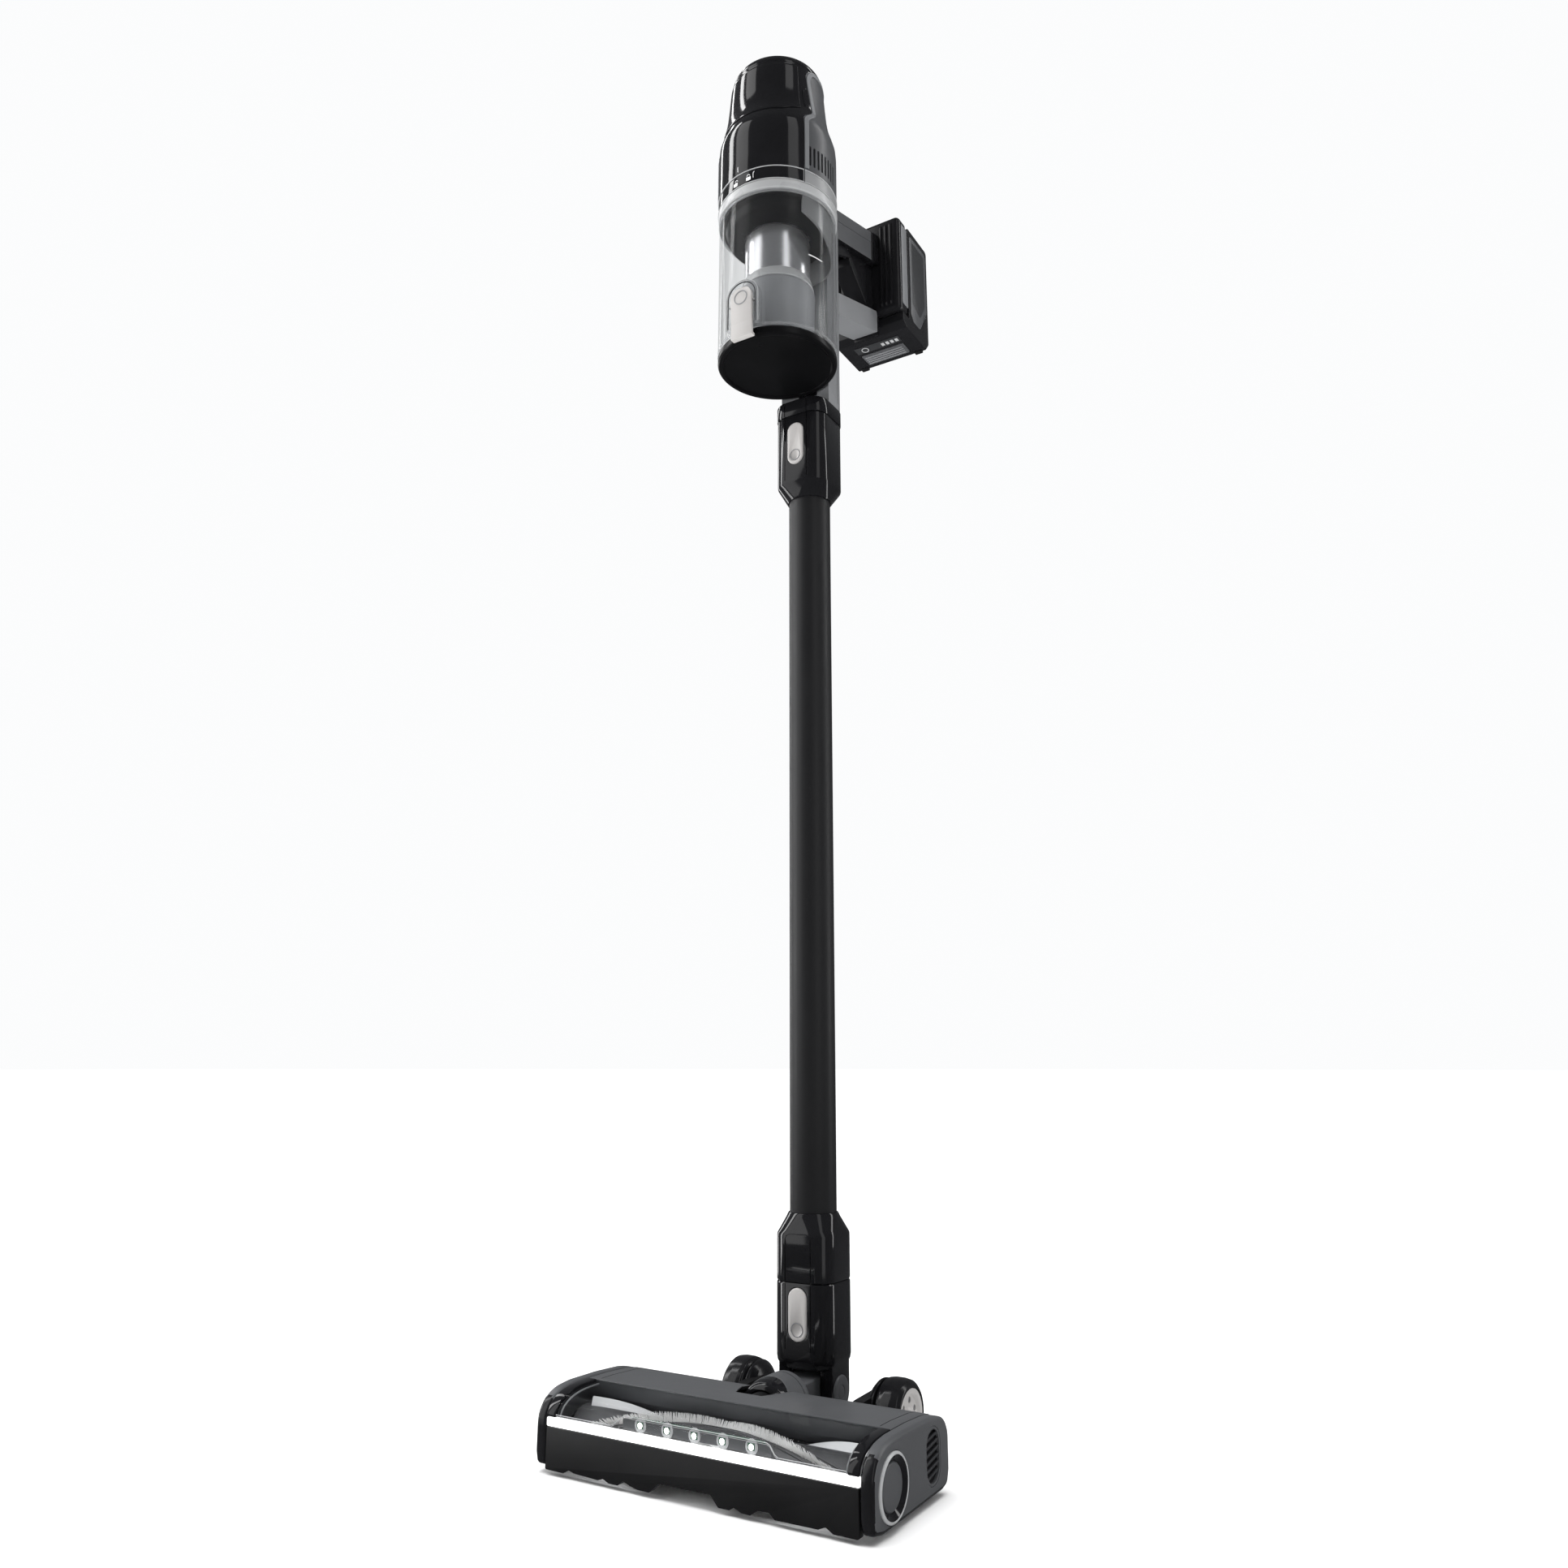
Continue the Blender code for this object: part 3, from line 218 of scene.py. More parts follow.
M = {
    "gloss": plastic("gloss_black", (0.0075, 0.0075, 0.0085), 0.085, 0.02, 900.0, 0.008, tone=0.2, spec=0.26),
    "gloss_soft": plastic("gloss_black_soft", (0.008, 0.008, 0.009), 0.19, 0.03, 900.0, 0.012, tone=0.2, spec=0.22),
    "gloss_deep": plastic("gloss_black_deep", (0.004, 0.004, 0.0045), 0.30, 0.04, 900.0, 0.01, tone=0.2, spec=0.10),
    "satin": plastic("satin_graphite", (0.066, 0.068, 0.072), 0.34, 0.05, 3200.0, 0.04, tone=0.06, spec=0.34),
    "satin_light": plastic("satin_grey_light", (0.165, 0.169, 0.176), 0.36, 0.05, 3200.0, 0.05, tone=0.05, spec=0.4),
    "satin_dark": plastic("satin_dark", (0.027, 0.028, 0.030), 0.34, 0.05, 3200.0, 0.05, tone=0.08, spec=0.25),
    "matte": plastic("matte_black", (0.0085, 0.0085, 0.009), 0.40, 0.08, 2200.0, 0.10, tone=0.15, spec=0.14),
    "wand": plastic("wand_black", (0.0115, 0.0115, 0.0125), 0.44, 0.04, 900.0, 0.03, tone=0.06, streak=(6.0, 6.0, 0.15), spec=0.22),
    "button": plastic("button_grey", (0.44, 0.425, 0.415), 0.36, 0.05, 3000.0, 0.05, tone=0.04),
    "mid": plastic("mid_grey", (0.20, 0.205, 0.215), 0.42, 0.05, 2800.0, 0.06, tone=0.06),
    "pale": plastic("pale_ring", (0.36, 0.365, 0.37), 0.28, 0.05, 2800.0, 0.03, tone=0.04),
    "steel": plastic("steel", (0.56, 0.56, 0.58), 0.28, 0.07, 1200.0, 0.05, metal=1.0, tone=0.08, streak=(1.0, 1.0, 12.0)),
    "cast": plastic("motor_casing", (0.42, 0.42, 0.44), 0.38, 0.08, 1500.0, 0.12, metal=0.9, tone=0.1),
    "rubber": plastic("rubber", (0.009, 0.009, 0.0095), 0.48, 0.07, 1800.0, 0.12, tone=0.2, spec=0.2),
    "bristle": plastic("bristle", (0.85, 0.845, 0.83), 0.60, 0.10, 5000.0, 0.2, tone=0.12),
    "brush_core": plastic("brush_core", (0.05, 0.05, 0.052), 0.45, 0.06, 3000.0, 0.06, tone=0.08),
    "fin": plastic("soft_fin", (0.78, 0.78, 0.78), 0.50, 0.05, 2500.0, 0.05, tone=0.05),
    "felt": plastic("felt", (0.55, 0.53, 0.48), 0.92, 0.04, 2500.0, 0.6, tone=0.12),
    "board": plastic("board", (0.012, 0.075, 0.035), 0.45, 0.05, 1800.0, 0.05, tone=0.15),
    "ring_grey": plastic("ring_grey", (0.24, 0.243, 0.247), 0.30, 0.05, 2800.0, 0.03, tone=0.05),
    "white": plastic("white_mark", (0.86, 0.86, 0.87), 0.40, 0.03, 2500.0, 0.02, tone=0.02),
    "clear": glassy("clear_bin", (0.984, 0.987, 0.988), 0.022, 0.50, 0.02, 0.0, (0.12, 0.122, 0.124), 0.13),
    "clear_band": glassy("clear_band", (0.93, 0.935, 0.94), 0.05, 0.6, 0.04, 0.06, (0.45, 0.455, 0.46), 0.22),
    "deflector": glassy("deflector_grey", (0.50, 0.51, 0.52), 0.04, 0.85, 0.20, 0.70, (0.22, 0.223, 0.227)),
    "smoke": glassy("smoke_window", (0.86, 0.865, 0.87), 0.04, 0.20, 0.03, 0.0, (0.008, 0.008, 0.009), 0.20),
    "strip": glow("light_strip", (1.0, 1.0, 1.0), 1.6),
    "lamp": glow("lamp", (1.0, 0.99, 0.97), 9.0),
    "mesh": mesh_metal("shroud_mesh"),
}


# ---------------------------------------------------------------- mesh tools
def P(p):
    return Vector((p[0] * MM, (p[1] + SHIFT) * MM, p[2] * MM))


def done(name, bm, mat, angle=38.0):
    for v in bm.verts:
        v.co = P(v.co)
    mesh = bpy.data.meshes.new(name)
    bm.to_mesh(mesh)
    bm.free()
    obj = bpy.data.objects.new(name, mesh)
    bpy.context.scene.collection.objects.link(obj)
    if mat:
        mesh.materials.append(M[mat] if isinstance(mat, str) else mat)
    mesh.shade_smooth()
    mesh.set_sharp_from_angle(angle=math.radians(angle))
    return obj


def bake(obj, angle=38.0):
    """Applies the object's modifiers to its mesh."""
    dg = bpy.context.evaluated_depsgraph_get()
    new = bpy.data.meshes.new_from_object(obj.evaluated_get(dg))
    obj.modifiers.clear()
    obj.data = new
    new.shade_smooth()
    new.set_sharp_from_angle(angle=math.radians(angle))
    return obj


def bevel(obj, width, segments=3, angle=35.0):
    if not width:
        return obj
    m = obj.modifiers.new("edges", "BEVEL")
    m.width = width * MM
    m.segments = segments
    m.limit_method = "ANGLE"
    m.angle_limit = math.radians(angle)
    m.harden_normals = False
    return bake(obj)


def boolean(obj, tools, how="DIFFERENCE"):
    for tool in tools:
        m = obj.modifiers.new("b", "BOOLEAN")
        m.operation = how
        m.solver = "EXACT"
        m.object = tool
        bake(obj)
        bpy.data.objects.remove(tool, do_unlink=True)
    return obj


def fillet(points, radii, seg=5):
    """Rounds the corners of a closed outline; radii is one number or one per point."""
    n = len(points)
    if isinstance(radii, (int, float)):
        radii = [radii] * n
    out = []
    for i in range(n):
        p, a, b = Vector(points[i]), Vector(points[i - 1]), Vector(points[(i + 1) % n])
        r = radii[i]
        u, v = (a - p), (b - p)
        lu, lv = u.length, v.length
        if r <= 0 or lu < 1e-6 or lv < 1e-6:
            out.append(tuple(p))
            continue
        u.normalize()
        v.normalize()
        cosine = max(-0.9999, min(0.9999, u.dot(v)))
        half = math.acos(cosine) / 2
        if half > math.radians(88.5):
            out.append(tuple(p))
            continue
        t = min(r / math.tan(half), lu * 0.49, lv * 0.49)
        r = t * math.tan(half)
        centre = p + (u + v).normalized() * (r / math.sin(half))
        s, e = p + u * t, p + v * t
        a0 = math.atan2(s.y - centre.y, s.x - centre.x)
        a1 = math.atan2(e.y - centre.y, e.x - centre.x)
        da = (a1 - a0 + math.pi) % (2 * math.pi) - math.pi
        for k in range(seg + 1):
            w = a0 + da * k / seg
            out.append((centre.x + r * math.cos(w), centre.y + r * math.sin(w)))
    return out


def lathe(name, axis, centre, profile, mat, steps=112, closed=None, angle=38.0, uv=False):
    """Turns a (radius, along) profile; radius 0 ends make it solid, otherwise it closes on itself."""
    closed = not (profile[0][0] <= 1e-9 and profile[-1][0] <= 1e-9) if closed is None else closed
    bm = bmesh.new()
    rings = []
    for r, z in profile:
        count = 1 if r <= 1e-9 else steps
        ring = []
        for i in range(count):
            a = 2 * math.pi * i / steps
            x, y = r * math.cos(a), r * math.sin(a)
            q = {"Z": (x, y, z), "X": (z, x, y), "Y": (y, z, x)}[axis]
            ring.append(bm.verts.new((q[0] + centre[0], q[1] + centre[1], q[2] + centre[2])))
        rings.append(ring)
    layer = bm.loops.layers.uv.new("UVMap") if uv else None
    pairs = list(zip(range(len(rings)), range(1, len(rings))))
    if closed:
        pairs.append((len(rings) - 1, 0))
    run = [0.0]
    for (r0, z0), (r1, z1) in zip(profile, profile[1:]):
        run.append(run[-1] + math.hypot(r1 - r0, z1 - z0))
    for ia, ib in pairs:
        a, b = rings[ia], rings[ib]
        for i in range(steps):
            j = (i + 1) % steps
            if len(a) == 1 and len(b) == 1:
                continue
            if len(a) == 1:
                vs = (a[0], b[i], b[j])
            elif len(b) == 1:
                vs = (a[i], b[0], a[j])
            else:
                vs = (a[i], b[i], b[j], a[j])
            f = bm.faces.new(vs)
            if layer and len(vs) == 4:
                rad = max(profile[ia][0], 1.0)
                span = 2 * math.pi * rad / steps
                for loop, (k, t) in zip(f.loops, ((i, ia), (i, ib), (i + 1, ib), (i + 1, ia))):
                    loop[layer].uv = (k * span, run[t])
    bmesh.ops.recalc_face_normals(bm, faces=bm.faces)
    return done(name, bm, mat, angle)


def prism(name, axis, lo, hi, outline, mat, round_=0.0, segments=3, angle=38.0):
    def point(u, v, w):
        return {"X": (w, u, v), "Y": (u, w, v), "Z": (u, v, w)}[axis]
    bm = bmesh.new()
    face = bm.faces.new([bm.verts.new(point(u, v, lo)) for u, v in outline])
    grown = bmesh.ops.extrude_face_region(bm, geom=[face])
    moved = [g for g in grown["geom"] if isinstance(g, bmesh.types.BMVert)]
    bmesh.ops.translate(bm, vec=Vector(point(0, 0, hi)) - Vector(point(0, 0, lo)), verts=moved)
    bmesh.ops.recalc_face_normals(bm, faces=bm.faces)
    return bevel(done(name, bm, mat, angle), round_, segments)


def block(name, lo, hi, mat, round_=0.0, segments=3):
    bm = bmesh.new()
    bmesh.ops.create_cube(bm, size=1.0)
    bmesh.ops.scale(bm, vec=[hi[i] - lo[i] for i in range(3)], verts=bm.verts)
    bmesh.ops.translate(bm, vec=[(hi[i] + lo[i]) / 2 for i in range(3)], verts=bm.verts)
    return bevel(done(name, bm, mat), round_, segments)


def rod(name, axis, a, b, across, radius, mat, sides=48, round_=0.0):
    f = min(round_, radius * 0.9, abs(b - a) * 0.45)
    if f > 0:
        prof = [(0, a)] + fillet([(0, a), (radius, a), (radius, b), (0, b)], [0, f, f, 0], 4)[1:-1] + [(0, b)]
    else:
        prof = [(0, a), (radius, a), (radius, b), (0, b)]
    c = {"X": (0, across[0], across[1]), "Y": (across[0], 0, across[1]), "Z": (across[0], across[1], 0)}[axis]
    return lathe(name, axis, c, prof, mat, sides)


def rounded_square(half, corner, per=10):
    pts = []
    for k in range(4):
        a0 = math.pi / 2 * k
        cx = (half - corner) * (1 if k in (0, 3) else -1)
        cy = (half - corner) * (1 if k in (0, 1) else -1)
        for i in range(per + 1):
            a = a0 + math.pi / 2 * i / per
            pts.append((cx + corner * math.cos(a), cy + corner * math.sin(a)))
    return pts


def loft(name, sections, mat, per=10, angle=38.0):
    bm = bmesh.new()
    rings = [[bm.verts.new((x, y, z)) for x, y in rounded_square(h, min(c, h - 0.02), per)] for z, h, c in sections]
    n = len(rings[0])
    for a, b in zip(rings, rings[1:]):
        for i in range(n):
            j = (i + 1) % n
            bm.faces.new((a[i], a[j], b[j], b[i]))
    bm.faces.new(rings[0][::-1])
    bm.faces.new(rings[-1])
    bmesh.ops.recalc_face_normals(bm, faces=bm.faces)
    return done(name, bm, mat, angle)


def stadium(cx, cy, wide, tall, per=14):
    r = wide / 2
    pts = []
    for k, s in ((0, 1), (1, -1)):
        for i in range(per + 1):
            a = math.pi * (k + i / per)
            pts.append((cx + r * math.cos(a), cy + s * (tall / 2 - r) + r * math.sin(a)))
    return pts


def ribbon(name, path, radius, mat, sides=8, closed=False):
    """A thin tube along a path of points, with closed ends."""
    bm = bmesh.new()
    pts = [Vector(p) for p in path]
    rings = []
    up = Vector((0.13, 0.31, 0.94)).normalized()
    for i, p in enumerate(pts):
        a = pts[i - 1] if (i or closed) else pts[0]
        b = pts[(i + 1) % len(pts)] if (i + 1 < len(pts) or closed) else pts[-1]
        t = (b - a).normalized()
        s = t.cross(up)
        if s.length < 1e-3:
            s = t.cross(Vector((1, 0, 0)))
        s.normalize()
        n = s.cross(t)
        rings.append([bm.verts.new(p + (s * math.cos(2 * math.pi * k / sides) + n * math.sin(2 * math.pi * k / sides)) * radius) for k in range(sides)])
    pairs = list(zip(rings, rings[1:])) + ([(rings[-1], rings[0])] if closed else [])
    for a, b in pairs:
        for k in range(sides):
            bm.faces.new((a[k], a[(k + 1) % sides], b[(k + 1) % sides], b[k]))
    if not closed:
        bm.faces.new(rings[0])
        bm.faces.new(rings[-1])
    bmesh.ops.recalc_face_normals(bm, faces=bm.faces)
    return done(name, bm, mat, 60)


def put(obj, body, slot, *nodes):
    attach(obj, body)
    if nodes:
        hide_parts(*nodes)
    return obj


def joined(name, objs):
    """One object of several, which keep their own materials."""
    bm = bmesh.new()
    mats = []
    for o in objs:
        base = len(bm.faces)
        bm.from_mesh(o.data)
        bm.faces.ensure_lookup_table()
        slots = []
        for m in o.data.materials:
            if m not in mats:
                mats.append(m)
            slots.append(mats.index(m))
        for f in bm.faces[base:]:
            f.material_index = slots[f.material_index] if slots else 0
    mesh = bpy.data.meshes.new(name)
    bm.to_mesh(mesh)
    bm.free()
    for m in mats:
        mesh.materials.append(m)
    obj = bpy.data.objects.new(name, mesh)
    bpy.context.scene.collection.objects.link(obj)
    mesh.shade_smooth()
    mesh.set_sharp_from_angle(angle=math.radians(38))
    for o in objs:
        bpy.data.objects.remove(o, do_unlink=True)
    return obj


# ---------------------------------------------------------------- carried-over solids get their materials
CARRIED = {
    "lamp_board": "board", "brush_motor": "steel", "drive_belt": "rubber", "suction_duct": "matte", "motor_pulley": "steel",
    "neck_pin_left": "steel", "neck_pin_right": "steel", "door_hinge_pin": "steel", "door_seal": "rubber", "pre_filter": "felt",
    "impeller": "mid", "suction_motor": "cast", "exhaust_filter": "felt", "foot_chassis": "matte", "roll_barrel": "satin_dark",
}
for node, mat in CARRIED.items():
    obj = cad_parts[node]
    for slot_ in obj.material_slots:
        slot_.material = M[mat]

# ---------------------------------------------------------------- foot
FOOT = "foot"
cover_line = [(-112.0, 50.2), (-95, 50.0), (-70, 48.6), (-57, 46.6), (-49.8, 42.0), (-49.8, 33.5), (-106.2, 33.5), (-112.0, 40)]
cover_out = fillet(cover_line, [0.8, 30, 60, 14, 3.5, 0.5, 0.5, 1.0], 6)
cover = prism("top_cover", "X", -116.7, 116.7, cover_out, "satin", 0.7, 2)
boolean(cover, [
    prism("t", "X", -114, 114, [(-104.2, 20), (-104.2, 47.9), (-70, 46.4), (-58, 44.4), (-52.4, 41.5), (-52.4, 20)], None),
    rod("t", "Y", -73, -40, (0, 35), 20.6, None, 96),
])
# the scoop in front of the rolling joint: a cone that opens forwards
bm = bmesh.new()
front, back, n = [], [], 64
for i in range(n):
    a = 2 * math.pi * i / n
    back.append(bm.verts.new((20.6 * math.cos(a), -72.5, 35 + 20.6 * math.sin(a))))
    front.append(bm.verts.new((11.0 * math.cos(a), -88.0, 45.5 + 11.0 * math.sin(a))))
for i in range(n):
    j = (i + 1) % n
    bm.faces.new((back[i], back[j], front[j], front[i]))
bm.faces.new(back)
bm.faces.new(front)
bmesh.ops.recalc_face_normals(bm, faces=bm.faces)
boolean(cover, [done("t", bm, None)])
# a fine line down each side of the panel
for s in (-1, 1):
    boolean(cover, [block("t", (s * 108.2 - 0.35, -109, 40), (s * 108.2 + 0.35, -58, 60), None)])
# keep the groove shallow: refill below it
put(cover, FOOT, "satin_grey", "foot_top_cover")
fill = prism("top_cover_liner", "X", -114.6, 114.6, [(-111.2, 41), (-111.2, 49.4), (-95, 49.3), (-70, 47.9), (-57.6, 46.0), (-57.6, 44.0), (-70, 45.9), (-104, 46.9), (-105, 41)], "satin_dark", 0.0)
boolean(fill, [rod("t", "Y", -95, -40, (0, 35), 20.9, None, 96)])
put(fill, FOOT, "satin_grey")

# scoop lining, black
bm = bmesh.new()
rows = []
for k, (r, y, z) in enumerate(((20.5, -72.4, 35.0), (16.5, -79.0, 39.4), (11.6, -87.2, 44.8))):
    rows.append([bm.verts.new((r * math.cos(a), y, z + r * math.sin(a))) for a in [math.pi * (0.0 + i / 40.0) for i in range(41)]])
for a, b in zip(rows, rows[1:]):
    for i in range(40):
        bm.faces.new((a[i], a[i + 1], b[i + 1], b[i]))
bmesh.ops.recalc_face_normals(bm, faces=bm.faces)
scoop = done("joint_scoop", bm, "gloss_soft")
m = scoop.modifiers.new("s", "SOLIDIFY")
m.thickness = 0.0008
m.offset = 0
bake(scoop)
boolean(scoop, [block("t", (-40, -120, 49.3), (40, -40, 80), None)])
put(scoop, FOOT, "gloss_black")

# window: outer skin with an even wall, dark end bands and a clear lens over the lamps
win_out = [(-153.7, 35.1), (-153.4, 37.6), (-151.9, 40.6), (-149.3, 43.5), (-145.2, 46.2), (-139.5, 48.4), (-132, 49.8), (-123, 50.3), (-112.4, 50.4)]
win_in = [(-112.4, 48.4), (-123, 48.3), (-131.5, 47.8), (-138.7, 46.4), (-144.0, 44.4), (-147.8, 42.0), (-150.1, 39.5), (-151.2, 37.2), (-151.7, 35.1)]


def smooth_line(pts, per=5):
    out = []
    for i in range(len(pts) - 1):
        p0, p1, p2, p3 = pts[max(0, i - 1)], pts[i], pts[i + 1], pts[min(len(pts) - 1, i + 2)]
        for k in range(per):
            t = k / per
            out.append(tuple(0.5 * ((2 * b) + (-a + c) * t + (2 * a - 5 * b + 4 * c - d) * t * t + (-a + 3 * b - 3 * c + d) * t ** 3)
                             for a, b, c, d in zip(p0, p1, p2, p3)))
    out.append(tuple(pts[-1]))
    return out


so, si = smooth_line(win_out), smooth_line(win_in)
window = prism("brush_window_skin", "X", -109.5, 109.5, so + si, "smoke", 0.0)
boolean(window, [block("t", (-58.3, -160, 30), (58.3, -140, 42.2), None)])
put(window, FOOT, "smoke", "brush_window")
for s, side in ((-1, "left"), (1, "right")):
    band = prism("window_band_" + side, "X", *sorted((s * 109.6, s * 116.7)), so + si, "gloss", 0.25, 2)
    put(band, FOOT, "gloss_black")
    rib = prism("window_rib_" + side, "X", *sorted((s * 107.2, s * 107.9)), [(y + 0.4, z - 0.4) for y, z in si[::-1]][::-1] + [(y + 0.9, z - 1.2) for y, z in si[::-1]], "pale", 0.0)
    put(rib, FOOT, "clear")
lens_line = fillet([(-151.4, 35.1), (-154.5, 35.1), (-154.4, 38.6), (-153.0, 41.9), (-150.5, 41.9), (-151.2, 38.6)], [0.2, 0.8, 2, 1.2, 0.3, 0.5], 4)
lens = prism("lamp_lens_skin", "X", -58, 58, lens_line, "clear", 0.0)
for s in (-1, 1):
    boolean(lens, [prism("t", "Y", -170, -140, [(s * 70, 30), (s * 58.2, 34.9), (s * 50.0, 42.4), (s * 50.0, 60), (s * 70, 60)][::s], None)])
put(lens, FOOT, "clear", "lamp_lens")
reflector = block("lamp_reflector", (-56.5, -149.45, 35.6), (56.5, -149.1, 41.4), "satin", 0.1, 1)
put(reflector, FOOT, "strip")
# pale ribbons along the window's lower edge and round the lens: painted highlights on the clear window's edge
for name, drop in (("painted_highlight_line", 0.0), ("painted_highlight_line_low", 0.9)):
    path = [(-109, -153.7, 36.9 - drop), (-63, -153.7, 36.9 - drop), (-60.5, -153.3, 38.2 - drop), (-56, -151.2, 42.0 - drop), (-53.5, -150.7, 42.9 - drop),
            (53.5, -150.7, 42.9 - drop), (56, -151.2, 42.0 - drop), (60.5, -153.3, 38.2 - drop), (63, -153.7, 36.9 - drop), (109, -153.7, 36.9 - drop)]
    put(ribbon(name, path, 0.28 if not drop else 0.16, "pale", 6), FOOT, "clear")
for i in range(5):
    x = 21.0 * (i - 2)
    lamp = lathe("lamp_%d" % (i + 1), "Y", (x, -150.2, 38.8), [(0, -0.5), (1.1, -0.45), (1.7, -0.1), (1.8, 0.4), (0, 0.4)], "lamp", 32)
    put(lamp, FOOT, "strip")
    halo = lathe("lamp_cup_%d" % (i + 1), "Y", (x, -149.6, 38.8), [(1.9, -0.6), (4.4, -0.2), (4.6, 0.5), (1.9, 0.5)], "pale", 32)
    put(halo, FOOT, "clear")

strip = prism("light_strip_bar", "X", -116.5, 116.5, fillet([(-150.6, 29.3), (-154.0, 29.3), (-154.1, 34.8), (-150.6, 34.8)], [0.3, 1.1, 0.9, 0.3], 4), "strip", 0.3, 2)
put(strip, FOOT, "strip", "light_strip")

# front lip with chamfered teeth
edge = [(-116.6, 3.2), (-101, 3.1), (-97, 5.6), (-92, 4.4), (-72, 3.6), (-68, 5.0), (-63, 3.1), (-56, 3.1), (-52, 6.4), (-46, 4.4), (-40, 3.2),
        (-31, 3.2), (-24, 9.2), (15, 9.6), (21, 3.4), (29, 3.4), (32, 5.4), (38, 3.2), (44, 3.2), (49, 6.6), (57, 6.8), (61, 3.6),
        (90, 3.8), (95, 5.8), (100, 3.1), (116.6, 3.1)]
outline = fillet([(-116.6, 29.0)] + edge + [(116.6, 29.0)], [0.3] + [1.2] * len(edge) + [0.3], 3)
lip = prism("front_lip_skirt", "Y", -154.0, -148.4, outline, "matte", 0.9, 2)
put(lip, FOOT, "matte_black", "front_lip")

cap_line = [(-154.2, 29), (-153.6, 36), (-148.5, 44.5), (-138, 49.5), (-124, 50.9), (-95, 50.6), (-68, 49.0),
            (-52.5, 44.8), (-47.6, 36), (-47.6, 14), (-50.5, 6.0), (-58, 4.2), (-110, 3.4), (-141, 3.0), (-152.6, 5.4), (-154.2, 13)]
cap_out = fillet(cap_line, [18, 14, 20, 30, 40, 80, 60, 12, 10, 8, 5, 8, 60, 30, 4, 8], 5)
for s, side in ((-1, "left"), (1, "right")):
    cap = prism("end_cap_" + side + "_shell", "X", *sorted((s * 117.0, s * 125.8)), cap_out, "satin", 2.6, 5)
    tools = [prism("t", "X", *sorted((s * 122.9, s * 135)), stadium(-72, 27, 22, 34), None),
             rod("t", "X", *sorted((s * 122.6, s * 135)), (-128, 24.5), 19.3, None, 96)]
    boolean(cap, tools)
    # front-facing and lowest faces take the black finish: painted shade for the cap's front face and underside, which
    # fall in shadow
    cap.data.materials.append(M["gloss_soft"])
    for poly in cap.data.polygons:
        c = poly.center / MM
        if c.y - SHIFT < -146.5 and (poly.normal.y < -0.22 or c.y - SHIFT < -151.5) or c.z < 9.0:
            poly.material_index = 1
    put(cap, FOOT, "satin_grey", "end_cap_" + side)
    # louvres: a shallow pocket with a matte black floor, painted shade for the dark interior behind the vent, with
    # slanted bars in a thin frame
    pocket = prism("vent_shade_floor_" + side, "X", *sorted((s * 122.95, s * 123.6)), stadium(-72, 27, 21.6, 33.6), "matte")
    frame_ring = prism("vent_frame_" + side, "X", *sorted((s * 123.6, s * 125.6)), stadium(-72, 27, 21.5, 33.5), "satin")
    boolean(frame_ring, [prism("t", "X", *sorted((s * 120, s * 130)), stadium(-72, 27, 18.6, 30.6), None)])
    bars = []
    for k in range(7):
        zc = 14.2 + 4.3 * k
        half = 10.4 if 18 < zc < 36 else 8.4
        bar = prism("t", "X", *sorted((s * 123.7, s * 125.3)), [(-72 - half, zc - 0.2), (-72 + half, zc + 3.0), (-72 + half, zc + 4.6), (-72 - half, zc + 1.4)], "satin_dark", 0.25, 2)
        boolean(bar, [prism("t", "X", *sorted((s * 120, s * 130)), stadium(-72, 27, 19.4, 31.4), None)], "INTERSECT")
        bars.append(bar)
    vent = joined("side_vent_%s_grille" % side, [pocket, frame_ring] + bars)
    put(vent, FOOT, "matte_black", "side_vent_" + side)

# release cap: satin disc, dark ring and a pale ring all round, a painted highlight on the bevel of the recess; the
# left cap has a plain boss
disc_prof = [(0, 125.4)] + fillet([(0, 125.4), (12.6, 125.4), (13.3, 124.7), (13.3, 123.2), (0, 123.2)], [0, 0.8, 0.3, 0.2, 0], 4)[1:-1] + [(0, 123.2)]
disc = lathe("t", "X", (0, -128, 24.5), disc_prof, "satin", 96)
ring1 = lathe("t", "X", (0, -128, 24.5), fillet([(13.4, 123.2), (13.4, 124.6), (16.9, 126.9), (17.1, 126.9), (17.1, 123.2)], [0, 0.3, 0.2, 0.1, 0], 4), "gloss", 128)
bevel_highlight_ring = lathe("t", "X", (0, -128, 24.5), fillet([(17.15, 123.2), (17.15, 127.0), (17.7, 127.45), (18.95, 126.4), (18.95, 123.2)], [0, 0.2, 0.4, 0.6, 0], 4), "pale", 128)
pit = lathe("t", "X", (0, -128, 24.5), [(0, 123.0), (13.0, 123.0), (13.0, 123.1), (0, 123.1)], "gloss", 48)
put(joined("brush_release_disc", [disc, ring1, bevel_highlight_ring, pit]), "release_cap", "satin_grey", "brush_release_cap")
boss = lathe("bearing_boss_left", "X", (0, -128, 24.5), [(0, -127.4)] + fillet([(0, -127.4), (18.2, -127.4), (18.9, -126), (18.9, -122.8), (0, -122.8)], [0, 1.0, 0.5, 0, 0], 4)[1:-1] + [(0, -122.8)], "satin", 96)
put(boss, FOOT, "satin_grey")

# chassis dressing underneath and behind
for s in (-1, 1):
    for y in (-60, -97):
        x = s * 106
        screw = lathe("foot_screw_%s_%d" % ("r" if s > 0 else "l", -y), "Z", (x, y, 0), [(0, 5.6), (0, 5.0)][:1] + [(1.1, 5.6), (1.3, 5.05), (3.0, 4.75), (3.2, 5.1), (3.2, 7), (0, 7)], "steel", 24)
        put(screw, FOOT, "steel")
pad = prism("sole_plate", "Z", 4.3, 5.0, fillet([(-112, -90), (-112, -53), (112, -53), (112, -90)], 4, 5), "satin_dark", 0.25, 2)
put(pad, FOOT, "matte_black")

